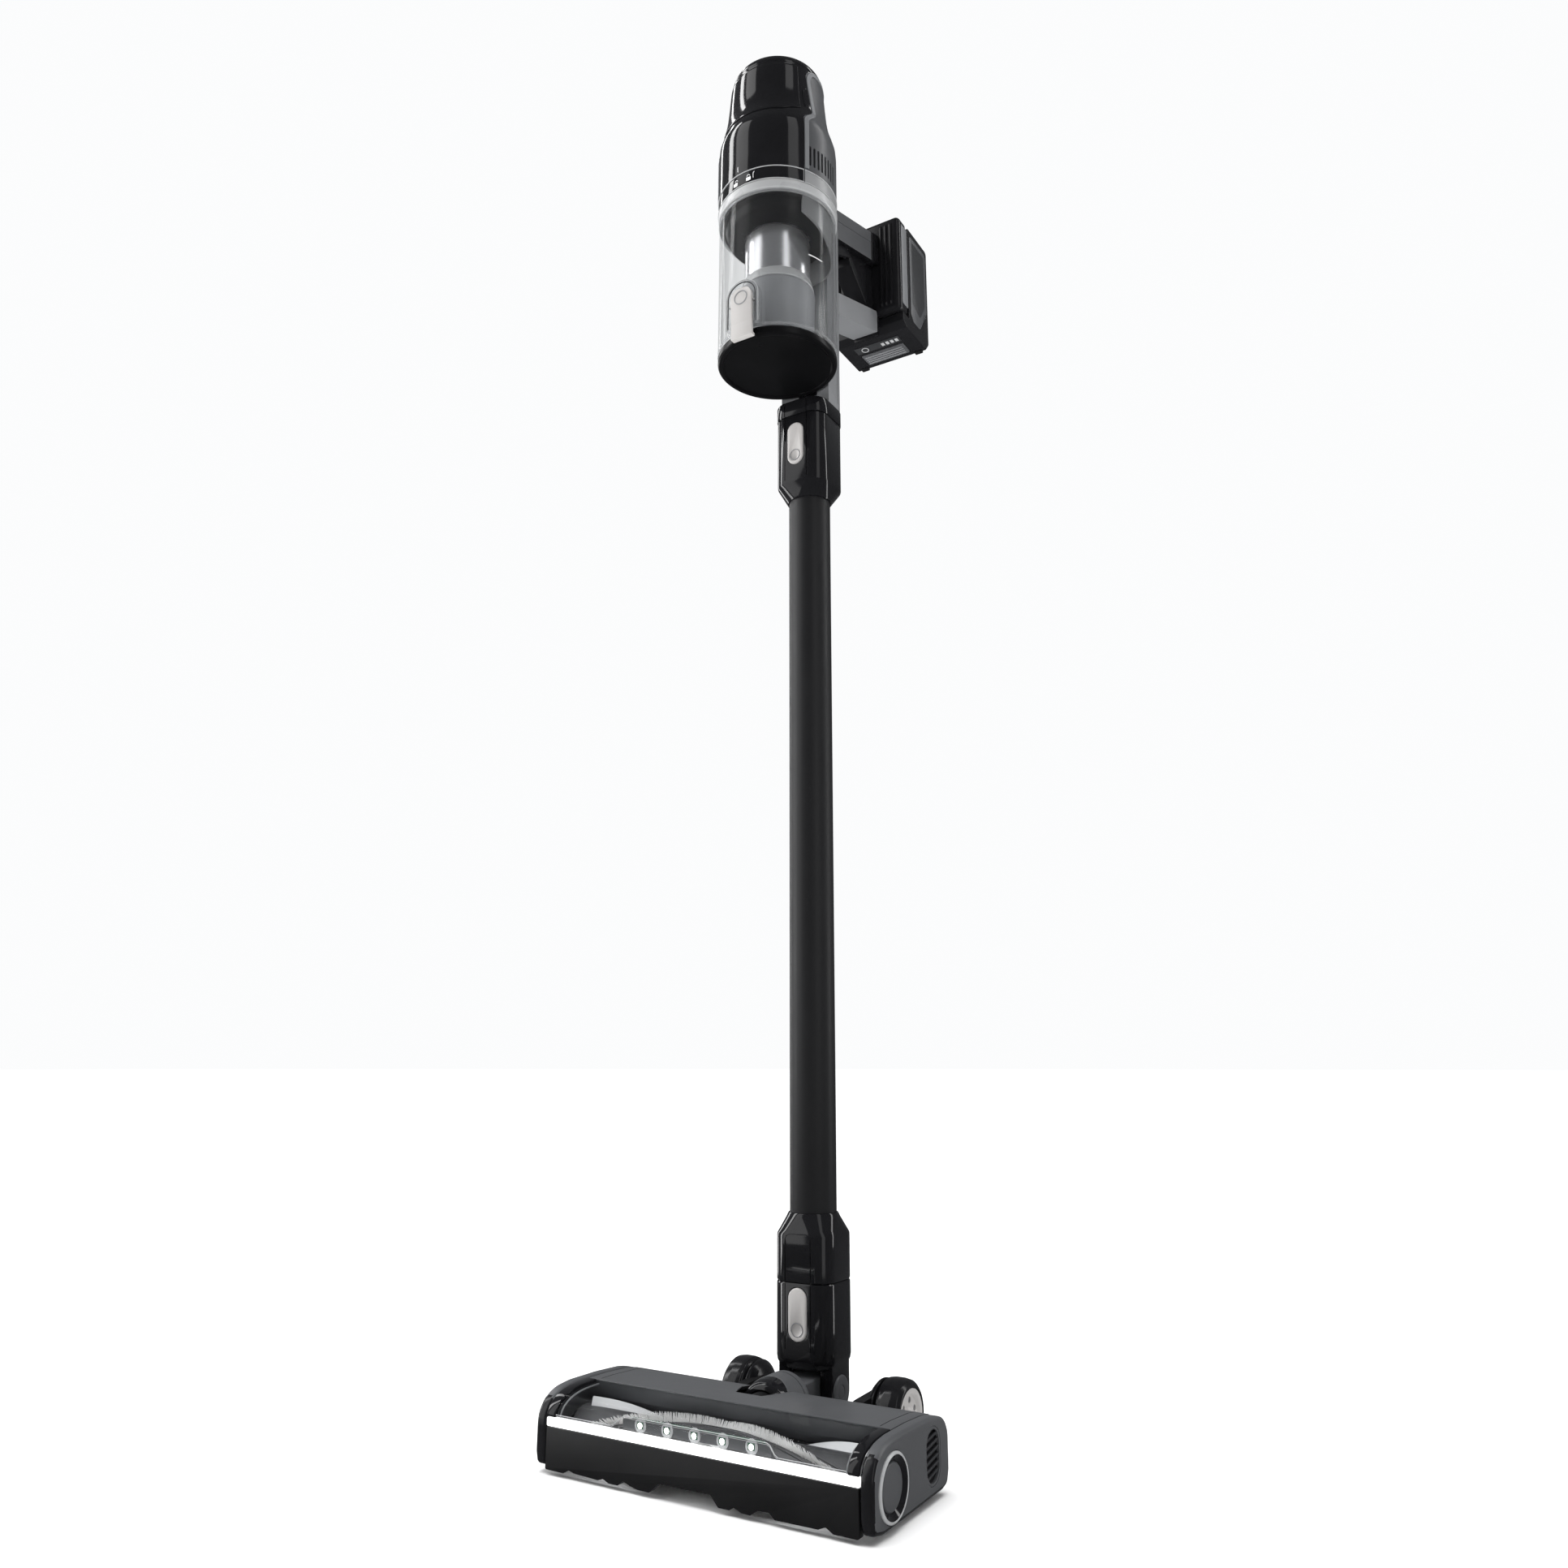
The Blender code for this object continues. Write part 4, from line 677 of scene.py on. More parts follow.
# ---------------------------------------------------------------- brush
BRUSH_Y, BRUSH_Z = -128.0, 24.5
core = lathe("brush_core", "X", (0, BRUSH_Y, BRUSH_Z),
             [(0, -121)] + fillet([(0, -121), (4, -121), (4, -106), (14.2, -106), (14.2, -103), (13.4, -102), (13.4, 110), (14.2, 111), (14.2, 112.5), (4, 112.5), (4, 121), (0, 121)],
                                  [0, .4, .4, .6, .3, .3, .3, .3, .6, .4, .4, 0], 3)[1:-1] + [(0, 121)], "brush_core", 72)
pulley = lathe("t", "X", (-109.2, BRUSH_Y, BRUSH_Z), [(3, 2.8), (9.6, 2.8), (9.6, 2.2), (8.6, 2.0), (8.6, -2.0), (9.6, -2.2), (9.6, -2.8), (3, -2.8)], "mid", 48)


def chevron(x):
    """How far the strips have turned at x: the two halves wind opposite ways."""
    return 2.1 * abs(x - 4.0) / 108.0


def bristle_row(name, phase, x0, x1, count, tip, rows, width, mat, lean=0.0):
    """A helical strip of separate tapering filaments."""
    bm = bmesh.new()
    for i in range(count):
        for r in range(rows):
            x = x0 + (x1 - x0) * (i + 0.5 + random.uniform(-0.3, 0.3)) / count
            a = phase + chevron(x) + (r - (rows - 1) / 2) * width / 13.4 + random.uniform(-0.012, 0.012)
            top = tip + random.uniform(-0.55, 0.0)
            bx, ba = x + random.uniform(-0.4, 0.4), a + lean + random.uniform(-0.03, 0.03)
            base = Vector((x, BRUSH_Y + 13.0 * math.cos(a), BRUSH_Z + 13.0 * math.sin(a)))
            end = Vector((bx, BRUSH_Y + top * math.cos(ba), BRUSH_Z + top * math.sin(ba)))
            along = (end - base).normalized()
            u = along.cross(Vector((1, 0, 0))).normalized()
            w = along.cross(u)
            low = [bm.verts.new(base + (u * math.cos(t) + w * math.sin(t)) * 0.42) for t in (0.5, 2.6, 4.7)]
            high = [bm.verts.new(end + (u * math.cos(t) + w * math.sin(t)) * 0.16) for t in (0.5, 2.6, 4.7)]
            for k in range(3):
                j = (k + 1) % 3
                bm.faces.new((low[k], low[j], high[j], high[k]))
            bm.faces.new(high)
            bm.faces.new(low[::-1])
    bmesh.ops.recalc_face_normals(bm, faces=bm.faces)
    return done(name, bm, mat, 60)


def fin_strip(name, phase, x0, x1, tip, thick, mat, n=80):
    """A soft blade that winds round the core, thinner towards its edge."""
    bm = bmesh.new()
    rows = []
    for i in range(n + 1):
        x = x0 + (x1 - x0) * i / n
        a = phase + chevron(x)
        row = []
        for r, w in ((12.9, thick), (tip - 0.6, thick * 0.6), (tip, thick * 0.35), (tip, -thick * 0.35), (tip - 0.6, -thick * 0.6), (12.9, -thick)):
            b = a + w / r
            row.append(bm.verts.new((x, BRUSH_Y + r * math.cos(b), BRUSH_Z + r * math.sin(b))))
        rows.append(row)
    for a, b in zip(rows, rows[1:]):
        for k in range(6):
            j = (k + 1) % 6
            bm.faces.new((a[k], a[j], b[j], b[k]))
    bm.faces.new(rows[0])
    bm.faces.new(rows[-1])
    bmesh.ops.recalc_face_normals(bm, faces=bm.faces)
    return done(name, bm, mat, 50)


brush_parts = [core, pulley]
for k in range(2):
    base_angle = math.pi * k
    brush_parts.append(bristle_row("t", base_angle + 0.95, -101, 110, 230, 19.2, 3, 0.9, "bristle"))
    brush_parts.append(fin_strip("t", base_angle + 0.95 + math.pi / 2, -101, 110, 19.0, 1.5, "fin"))
    for off in (0.72, 1.18):
        brush_parts.append(fin_strip("t", base_angle + off, -101, 110, 14.3, 0.9, "brush_core"))
put(joined("brush_roll_full", brush_parts), "brush", "bristle", "brush_roll")

# ---------------------------------------------------------------- wheels and rollers
for s, side in ((-1, "left"), (1, "right")):
    c = (s * 63.6, 8.0, 24.0)
    prof = fillet([(18.1, s * 9.5), (20.3, s * 9.9), (23.2, s * 7.4), (24.0, s * 2.6), (24.0, -s * 3.6), (23.2, -s * 8.2), (20.6, -s * 9.6), (18.1, -s * 9.5)],
                  [0.2, 2.0, 3.0, 8, 8, 3.0, 1.6, 0.2], 6)
    tyre = lathe("tyre_%s" % side, "X", c, prof, "gloss_soft", 128)
    boolean(tyre, [lathe("t", "X", (c[0] - s * 6.6, c[1], c[2]), [(23.2, -0.45), (26, -0.45), (26, 0.45), (23.2, 0.45)], None, 128)])
    put(tyre, "wheel_" + side, "rubber", "wheel_tyre_" + side)
    hub_prof = [(0, s * 9.3)] + fillet([(0, s * 9.3), (5.4, s * 9.2), (6.4, s * 8.4), (7.4, s * 7.4), (13.4, s * 7.4), (15.2, s * 9.3), (18.0, s * 9.7), (18.0, -s * 9.0), (15.0, -s * 9.0), (14.2, -s * 2),
                                        (8.4, -s * 2), (7.8, -s * 9.4), (3.9, -s * 9.6), (3.9, -s * 22.4), (0, -s * 22.4)],
                                       [0, 0.9, 0.4, 0.6, 0.8, 0.8, 0.3, 0.5, 0.5, 0.8, 0.8, 0.4, 0.2, 0.5, 0], 4)[1:-1] + [(0, -s * 22.4)]
    hub = lathe("t", "X", c, hub_prof, "button", 96)
    dots = []
    for k in range(6):
        a = math.radians(60 * k + 20)
        y, z = c[1] + 10.4 * math.cos(a), c[2] + 10.4 * math.sin(a)
        boolean(hub, [rod("t", "X", *sorted((c[0] + s * 6.0, c[0] + s * 12)), (y, z), 2.1, None, 32)])
        dots.append(rod("t", "X", *sorted((c[0] + s * 5.9, c[0] + s * 6.5)), (y, z), 2.05, "mid", 32))
    put(joined("hub_%s" % side, [hub] + dots), "wheel_" + side, "light_grey", "wheel_hub_" + side)
    # arm cheek that the wheel runs on, rounded, outside the chassis arm
    fender = lathe("arm_fender_" + side, "X", (0, 8.0, 24.0), fillet([(4.6, s * 44.6), (12.0, s * 44.8), (18.5, s * 47.2), (22.2, s * 50.6), (22.8, s * 53.0), (4.6, s * 53.0)], [0.3, 4, 5, 4, 0.8, 0.3], 5), "gloss_soft", 112)
    put(fender, FOOT, "matte_black")
    rc = (s * 85.0, -97.0, 5.0)
    rprof = [(0, 8.7)] + fillet([(0, 8.7), (1.6, 8.7), (1.6, 6.2), (4.2, 6.2), (5.0, 5.2), (5.0, -5.2), (4.2, -6.2), (1.6, -6.2), (1.6, -8.7), (0, -8.7)], [0, .2, .2, .5, .6, .6, .5, .2, .2, 0], 3)[1:-1] + [(0, -8.7)]
    put(lathe("roller_" + side + "_wheel", "X", rc, rprof, "matte", 48), "roller_" + side, "matte_black", "front_roller_" + side)

# ---------------------------------------------------------------- rolling joint
nose = lathe("joint_nose", "Y", (0, 0, 35), fillet([(13.2, -70.9), (13.4, -71.2), (16.0, -70.6), (17.8, -68.6), (18.9, -64.5), (19.25, -58.0), (19.25, -52.0), (13.2, -52.0)], [0.1, 1, 3, 4, 6, 6, 0.2, 0.2], 5), "gloss", 128)
put(nose, "roll", "gloss_black")
drum_prof = fillet([(19.27, -70.8), (19.55, -70.6), (19.55, -39.6), (18.6, -38.2), (13.1, -38.2), (13.1, -51.9), (19.27, -51.9)], [0.05, 0.1, 1.6, 0.8, 0.2, 0.1, 0.1], 5)
drum = lathe("t", "Y", (0, 0, 35), drum_prof, "satin", 128)
boolean(drum, [prism("t", "X", -30, 30, [(-90, 10), (-70.5, 10), (-69.0, 30), (-65.6, 42), (-58.5, 53), (-54.5, 60), (-90, 60)], None)])
for y in (-44.5,):
    boolean(drum, [lathe("t", "Y", (0, y, 35), [(19.1, -0.3), (22, -0.5), (22, 0.5), (19.1, 0.3)], None, 128)])
knuckle = prism("t", "X", -12.3, 12.3, fillet([(-46, 24.6), (-46, 45.4), (-11, 46.6), (-6, 47.4), (2, 47.4), (9, 44), (12.4, 38), (12.4, 32), (9, 26), (2, 22.6), (-6, 22.6), (-11, 23.4)],
                                              [1, 1, 8, 5, 6, 8, 8, 8, 8, 6, 5, 8], 4), "satin", 0.9, 3)
back_plate = rod("t", "Y", -44.2, -38.1, (0, 35), 16.0, "satin_dark", 96, 0.8)
boolean(knuckle, [rod("t", "Z", 34, 70, (0, 0), 7.5, None, 48), rod("t", "X", -20, -8.2, (0, 35), 4.4, None, 32), rod("t", "X", 8.2, 20, (0, 35), 4.4, None, 32)])
put(joined("rolling_joint", [drum, knuckle, back_plate]), "roll", "satin_grey", "roll_barrel")

# ---------------------------------------------------------------- wand body
W = "wand"
CH, CR = 23.5, 14.0


def grooves(obj, z0, z1, x=10.6):
    """Twin fine panel lines on the front face."""
    tools = [block("t", (s * x - 0.35, -25, z0), (s * x + 0.35, -22.9, z1), None) for s in (-1, 1)]
    return boolean(obj, tools)


neck = loft("neck_upper", [(50.6, 19.4, 13.0), (52.2, 21.4, 13.4), (55.5, 23.1, CR), (58.5, CH, CR), (108.0, CH, CR), (108.8, CH - 0.5, CR)], "gloss", 12)
ears = []
for s in (-1, 1):
    ear = [(14 * math.cos(math.radians(a)), 35 + 14 * math.sin(math.radians(a))) for a in range(180, 361, 8)] + [(14.0, 60.0), (-14.0, 60.0)]
    ears.append(prism("t", "X", *sorted((s * 12.8, s * 21.7)), ear, "gloss", 1.0, 3))
boolean(neck, ears, "UNION")
boolean(neck, [rod("t", "Z", 48.6, 120, (0, 0), 15.8, None, 64), rod("t", "X", -30, 30, (0, 35), 4.3, None, 48),
               prism("t", "Y", -40, -17.7, stadium(0, 88, 15.8, 36.8), None)])
grooves(neck, 64, 120)
neck.data.materials.clear()
neck.data.materials.append(M["gloss"])
put(neck, W, "gloss_black", "neck_tube")
for s, side in ((-1, "left"), (1, "right")):
    hub_ring = lathe("pitch_cover_" + side, "X", (0, 0, 35), fillet([(4.6, s * 20.0), (4.6, s * 22.6), (10.4, s * 22.6), (11.4, s * 21.9), (11.4, s * 20.0)], [0.2, 0.4, 0.6, 0.6, 0.2], 3), "satin", 80)
    put(hub_ring, W, "satin_grey")
    plug = rod("pitch_plug_" + side, "X", *sorted((s * 21.5, s * 22.4)), (0, 35), 4.5, "satin", 48, 0.3)
    put(plug, W, "satin_grey")


def pill(name, z, tall, body, node):
    b = prism("t", "Y", -24.8, -20.3, stadium(0, z, 15.0, tall, 20), "button", 1.0, 4)
    ball = bmesh.new()
    bmesh.ops.create_uvsphere(ball, u_segments=48, v_segments=32, radius=11.0)
    bmesh.ops.translate(ball, vec=(0, -34.2, z - tall / 2 + 8.0), verts=ball.verts)
    boolean(b, [done("t", ball, None)])
    mark = ribbon("t", [(4.6 * math.sin(math.radians(t)), -24.75, z - tall / 2 + 8.0 + 4.6 * math.cos(math.radians(t))) for t in range(0, 361, 12)], 0.3, "mid", 6)
    return put(joined(name, [b, mark]), body, "light_grey", node)


pill("foot_button_cap", 88.0, 36.0, "foot_button", "foot_release_button")
pill("wand_button_cap", 776.0, 38.0, "wand_button", "wand_release_button")

lower = loft("lower_collar", [(109.3, CH - 0.5, CR), (110.1, CH, CR), (140.5, CH, CR), (142.0, CH - 0.15, 14.2), (144.5, 22.5, 15.2), (153.5, 19.4, 18.4), (155.2, 19.0, 19.0), (156.0, 18.5, 18.5)], "gloss", 12, 25)
boolean(lower, [rod("t", "Z", 100, 170, (0, 0), 17.75, None, 96)])
grooves(lower, 100, 139)
put(lower, W, "gloss_black", "wand_lower_collar")
arch = ribbon("collar_panel_arch", [(-10.6, -23.45, 139), (-9.6, -23.5, 141.2), (-7, -23.4, 142.4), (7, -23.4, 142.4), (9.6, -23.5, 141.2), (10.6, -23.45, 139)], 0.32, "gloss_soft")
put(arch, W, "gloss_black")

tube = lathe("wand_tube_skin", "Z", (0, 0, 0), fillet([(17.5, 112), (17.5, 745), (16.2, 745), (16.2, 112)], 0.3, 3), "wand", 144)
put(tube, W, "wand_black", "wand_tube")

upper = loft("upper_collar", [(729.0, 18.4, 18.4), (729.8, 18.9, 18.9), (738.6, 22.4, 15.4), (741.0, 23.3, 14.2), (742.2, CH, CR), (802.2, CH, CR), (803.0, CH - 0.5, CR)], "gloss", 12, 25)
boolean(upper, [rod("t", "Z", 720, 746, (0, 0), 17.75, None, 96), rod("t", "Z", 740, 815, (0, 0), 15.8, None, 64),
                prism("t", "Y", -40, -17.7, stadium(0, 776, 15.8, 38.8), None)])
grooves(upper, 744, 820)
put(upper, W, "gloss_black", "wand_upper_collar")

band = loft("inlet_band_ring", [(803.4, CH, CR), (804.2, CH + 0.4, CR), (816.0, CH + 0.4, CR), (816.8, CH, CR)], "gloss", 12, 25)
boolean(band, [rod("t", "Z", 795, 825, (0, 0), 15.8, None, 64)])
grooves(band, 800, 820)
put(band, W, "gloss_black", "inlet_band")

spine = loft("spine_shell", [(817.1, CH - 0.5, CR), (818.0, CH, CR), (1002.0, CH, CR), (1003.0, CH - 0.6, CR)], "satin_light", 12)
boolean(spine, [rod("t", "Z", 810, 1010, (0, BIN_Y), 50.7, None, 160), block("t", (-15, 6, 810), (15, 19, 1010), None),
                rod("t", "Z", 965.6, 1010, (0, BIN_Y), 51.8, None, 160), rod("t", "Z", 810, 838.6, (0, BIN_Y), 51.6, None, 160),
                block("t", (-9.4, -12, 829.5), (9.4, 2.4, 838.5), None)])
# a shallow seam down each flank of the spine
boolean(spine, [block("t", (s * 23.0 if s > 0 else -24.5, 8.6, 822), (24.5 if s > 0 else -23.0, 9.3, 1000), None) for s in (-1, 1)])
put(spine, W, "satin_grey", "inlet_spine")

# ---------------------------------------------------------------- bin
bin_prof = fillet([(50.0, 838.0), (50.0, 965.8), (48.0, 965.8), (48.0, 838.0)], [0.6, 0.3, 0.3, 0.6], 4)
bin_ = lathe("bin_wall", "Z", (0, BIN_Y, 0), bin_prof, "clear", 192)
put(bin_, W, "clear", "bin_shell")
# thick rolled edges of the clear wall
for name, z, r in (("bin_edge_low", 840.6, 49.9), ("bin_edge_high", 963.8, 49.9)):
    edge_ring = lathe(name, "Z", (0, BIN_Y, z), fillet([(r + 0.35, -1.1), (r + 0.35, 1.1), (r - 0.6, 1.1), (r - 0.6, -1.1)], 0.35, 3), "clear_band", 192)
    put(edge_ring, W, "clear")
# fill line, a plain tick
tick = []
for k in range(13):
    a = math.radians(62 + 16 * k / 12)
    tick.append((50.15 * math.sin(a), BIN_Y - 50.15 * math.cos(a), 908.0))
put(ribbon("fill_line", tick, 0.35, "white"), W, "clear")

door_prof = [(0, 839.6)] + fillet([(0, 839.6), (46.6, 839.6), (46.6, 837.7), (49.9, 837.7), (50.0, 832.4), (48.8, 831.2), (46.0, 831.2), (44.8, 832.6), (0, 833.2)], [0, 1.0, 0.3, 0.6, 0.8, 0.9, 0.6, 0.8, 0], 4)[1:-1] + [(0, 833.2)]
door = lathe("t", "Z", (0, BIN_Y, 0), door_prof, "gloss_deep", 192)
arm_ = block("t", (-9.0, -8.0, 831.8), (9.0, -0.8, 836.6), "gloss", 0.4)
kn = rod("t", "X", -9, 9, (-0.8, 834.2), 2.6, "gloss", 40, 0.3)
catch = block("t", (-8, -105.6, 831.9), (8, -101.5, 835.6), "gloss", 0.6)
put(joined("bin_door_full", [door, arm_, kn, catch]), "door", "gloss_black", "bin_door")

# latch: a clear arch round a grey tab
arch_out = [(-15, 838.5), (15, 838.5), (15, 866)] + [(15 * math.cos(math.radians(a)), 866 + 15 * math.sin(math.radians(a))) for a in range(6, 175, 6)] + [(-15, 866)]
housing = prism("latch_arch", "Y", -108.5, -97, arch_out, "clear", 1.2, 3)
arch_in = [(-10.6, 820), (10.6, 820), (10.6, 864.5)] + [(10.6 * math.cos(math.radians(a)), 864.5 + 10.6 * math.sin(math.radians(a))) for a in range(6, 175, 6)] + [(-10.6, 864.5)]
boolean(housing, [rod("t", "Z", 830, 890, (0, BIN_Y), 50.35, None, 192), prism("t", "Y", -120, -104.4, arch_in, None)])
put(housing, W, "gloss_black", "latch_housing")
rim_path = [(-12.9, -108.6, 839.5), (-12.9, -108.6, 865)] + [(12.9 * math.cos(math.radians(a)), -108.6, 865.4 + 12.9 * math.sin(math.radians(a))) for a in range(176, 3, -8)] + [(12.9, -108.6, 865), (12.9, -108.6, 839.5)]
put(ribbon("latch_rim", rim_path, 0.45, "gloss_soft"), W, "clear")
rim_out = [(-15.0, -107.6, 839.5), (-15.0, -107.6, 866)] + [(15.0 * math.cos(math.radians(a)), -107.6, 866 + 15.0 * math.sin(math.radians(a))) for a in range(176, 3, -8)] + [(15.0, -107.6, 866), (15.0, -107.6, 839.5)]
put(ribbon("latch_rim_outer", rim_out, 0.35, "pale"), W, "clear")
tab_side = fillet([(-109.0, 829.0), (-104.0, 829.0), (-104.0, 831.4), (-106.3, 831.8), (-106.3, 858.2), (-105.5, 860.0), (-106.3, 861.8), (-106.3, 873.8), (-108.4, 874.4), (-109.8, 872.0), (-110.1, 861.5), (-109.4, 848.0), (-108.8, 842)],
                  [0.8, 0.4, 0.3, 0.3, 0.3, 0.8, 0.3, 0.4, 0.8, 1.2, 6, 6, 4], 4)
tab = prism("t", "X", -9.9, 9.9, tab_side, "button", 0.7, 3)
boolean(tab, [prism("t", "Y", -120, -95, [(-9.9, 820), (9.9, 820), (9.9, 864.2)] + [(9.9 * math.cos(math.radians(a)), 864.2 + 9.9 * math.sin(math.radians(a))) for a in range(6, 175, 6)] + [(-9.9, 864.2)], None)], "INTERSECT")
finger = lathe("t", "Y", (0, -109.9, 864.0), [(5.4, -0.4), (6.2, -0.4), (6.2, 0.9), (5.4, 0.9)], "mid", 64)
pivot = rod("t", "X", -12.4, 12.4, (-106.9, 860), 0.9, "steel", 24)
put(joined("bin_latch_tab", [tab, finger, pivot]), "latch", "light_grey", "bin_latch")

# ring: pale lower band, dark lock band above it with plain lock marks
low_band = lathe("t", "Z", (0, BIN_Y, 0), fillet([(47.3, 966.1), (50.7, 966.1), (51.4, 967.0), (51.4, 973.4), (50.9, 974.2), (47.3, 974.2)], [0.2, 0.4, 0.6, 0.6, 0.3, 0.2], 4), "pale", 192)
top_band = lathe("t", "Z", (0, BIN_Y, 0), fillet([(47.3, 974.3), (50.6, 974.3), (51.0, 975.0), (51.0, 986.2), (50.6, 986.8), (47.3, 986.8)], [0.2, 0.3, 0.5, 0.5, 0.3, 0.2], 4), "gloss", 192)
top_band.data.materials.append(M["ring_grey"])
for poly in top_band.data.polygons:
    c = poly.center / MM
    if math.degrees(abs(math.atan2(c.x, -(c.y - SHIFT - BIN_Y)))) > 57.0:
        poly.material_index = 1
ring = joined("bin_ring_full", [low_band, top_band])
# pale rings at the collar's lower and upper edges: painted highlights on the clear collar's edges
edges = [lathe("t", "Z", (0, BIN_Y, 0), fillet([(50.9, z - 0.4), (51.6, z - 0.25), (51.6, z + 0.25), (50.9, z + 0.4)], 0.1, 2), "pale", 192) for z in (974.6, 986.6)]
put(joined("collar_highlight_edges", edges), W, "clear")
seam = ribbon("collar_seam", [(51.9 * math.sin(math.radians(57)), BIN_Y - 51.9 * math.cos(math.radians(57)), z) for z in (974.2, 980, 986.8)], 0.28, "gloss_soft", 6)
put(seam, W, "gloss_black")
put(ring, W, "satin_grey", "bin_ring")


def on_head(az, z, r=51.15):
    a = math.radians(az)
    return (r * math.sin(a), BIN_Y - r * math.cos(a), z)


def lock_mark(name, az, open_):
    parts = []
    bm = bmesh.new()
    quad = [(-2.1, 0), (2.1, 0), (2.1, 3.0), (-2.1, 3.0)]
    vs = [bm.verts.new(on_head(az + math.degrees(u / 51.0), 977.2 + v, r)) for r in (51.0, 51.22) for u, v in quad]
    for a in ((0, 1, 2, 3), (7, 6, 5, 4), (0, 4, 5, 1), (1, 5, 6, 2), (2, 6, 7, 3), (3, 7, 4, 0)):
        bm.faces.new([vs[i] for i in a])
    bmesh.ops.recalc_face_normals(bm, faces=bm.faces)
    parts.append(done("t", bm, "white"))
    pts = []
    for k in range(11):
        t = math.pi * k / 10
        u = 1.4 * math.cos(t) + (1.0 if open_ else 0.0)
        pts.append(on_head(az + math.degrees(u / 51.0), 980.2 + 0.9 + 1.5 * math.sin(t), 51.1))
    parts.append(ribbon("t", pts, 0.25, "white", 6))
    return put(joined(name, parts), W, "light_grey")


lock_mark("lock_mark_open", -12, True)
lock_mark("lock_mark_shut", 3, False)
put(ribbon("lock_tick", [on_head(-9, 989.6, 51.25), on_head(-9, 994.6, 51.3)], 0.3, "white"), W, "light_grey")
put(ribbon("lock_track", [on_head(9.5 - 1.6 * math.cos(t), 982 + 2.0 * math.sin(t), 51.1) for t in (1.4, 0.9, 0.4, 0.1)] + [on_head(8, 978, 51.1)], 0.25, "white"), W, "light_grey")

# inside the bin
insert = lathe("bin_insert", "Z", (0, BIN_Y, 0), [(0, 965.4)] + fillet([(0, 965.4), (47.4, 965.4), (47.4, 962.5), (44.5, 961.0), (43.2, 953.0), (30.0, 950.0), (0, 950.0)], [0, 0.4, 1.0, 1.5, 5, 3, 0], 5)[1:-1] + [(0, 950.0)], "gloss_deep", 160)
boolean(insert, [rod("t", "Z", 940, 970, (0, BIN_Y), 28.4, None, 96)])
put(insert, W, "gloss_black")
shroud_prof = fillet([(28.0, 899.1), (28.0, 949.0), (25.2, 956.5), (22.0, 958.4), (22.0, 957.2), (24.6, 955.6), (26.7, 948.6), (26.7, 899.1)], [0.2, 5, 4, 0.3, 0.3, 3, 4, 0.2], 6)
shroud = lathe("shroud_mesh_tube", "Z", (0, BIN_Y, 0), shroud_prof, "mesh", 160, uv=True)
put(shroud, W, "mesh_steel", "cyclone_shroud")
collar = lathe("shroud_collar", "Z", (0, BIN_Y, 0), fillet([(26.9, 957.2), (30.2, 957.6), (30.2, 965.4), (26.9, 965.4)], 0.6, 3), "steel", 128)
put(collar, W, "mesh_steel")
ring_low = lathe("shroud_ring", "Z", (0, BIN_Y, 0), fillet([(28.2, 899.0), (31.2, 899.0), (31.4, 900.2), (29.3, 908.0), (28.2, 908.6)], [0.3, 0.6, 0.5, 0.6, 0.3], 4), "pale", 128)
put(ring_low, W, "light_grey")
cup_prof = fillet([(31.4, 898.6), (32.0, 896.0), (30.6, 844.0), (29.6, 842.2), (27.4, 842.2), (28.0, 845), (29.6, 895.0), (28.0, 898.6)], [1.0, 1.2, 3, 0.8, 0.5, 2, 2, 0.4], 5)
cup = lathe("dust_cup", "Z", (0, BIN_Y, 0), cup_prof, "mid", 128)
put(cup, W, "mid_grey", "cyclone_cup")
for k, az in enumerate((-60, 12, 84, 156, 228)):
    a = math.radians(az)
    rib = ribbon("cup_rib_%d" % (k + 1), [(31.5 * math.sin(a), BIN_Y - 31.5 * math.cos(a), 893), (30.4 * math.sin(a), BIN_Y - 30.4 * math.cos(a), 848)], 0.55, "mid")
    put(rib, W, "mid_grey")

# inlet deflector: a curved blade inside the wall, cut on the slant
bm = bmesh.new()
rows = []
n = 48
for i in range(n + 1):
    t = i / n
    az = math.radians(57 + 143 * t)
    z_low = 950.0 - 22.0 * min(1.0, t / 0.42) if t < 0.42 else 928.0 + 12.0 * (t - 0.42) / 0.58
    col = []
    for r in (47.5, 45.7):
        for k in range(7):
            z = z_low + (965.4 - z_low) * k / 6
            col.append(bm.verts.new((r * math.sin(az), BIN_Y - r * math.cos(az), z)))
    rows.append(col)
for a, b in zip(rows, rows[1:]):
    for k in range(6):
        bm.faces.new((a[k], b[k], b[k + 1], a[k + 1]))
        bm.faces.new((a[7 + k], a[8 + k], b[8 + k], b[7 + k]))
    bm.faces.new((a[0], a[7], b[7], b[0]))
    bm.faces.new((a[6], b[6], b[13], a[13]))
for col in (rows[0], rows[-1]):
    for k in range(6):
        bm.faces.new((col[k], col[k + 1], col[8 + k], col[7 + k]))
bmesh.ops.recalc_face_normals(bm, faces=bm.faces)
put(done("inlet_blade", bm, "deflector"), W, "mid_grey", "inlet_deflector")

# ---------------------------------------------------------------- head
OUT = [(987.2, 51.0), (994, 51.2), (1030, 51.2), (1037, 50.6), (1044, 48.6), (1050, 46.6), (1056, 45.1), (1066, 43.4), (1080, 42.0), (1095, 40.8), (1101, 40.2), (1105, 39.2), (1107.6, 37.9), (1109.4, 36.2)]


def radius_at(z):
    for (z0, r0), (z1, r1) in zip(OUT, OUT[1:]):
        if z0 <= z <= z1:
            t = (z - z0) / (z1 - z0)
            return r0 + (r1 - r0) * t
    return OUT[0][1] if z < OUT[0][0] else OUT[-1][1]


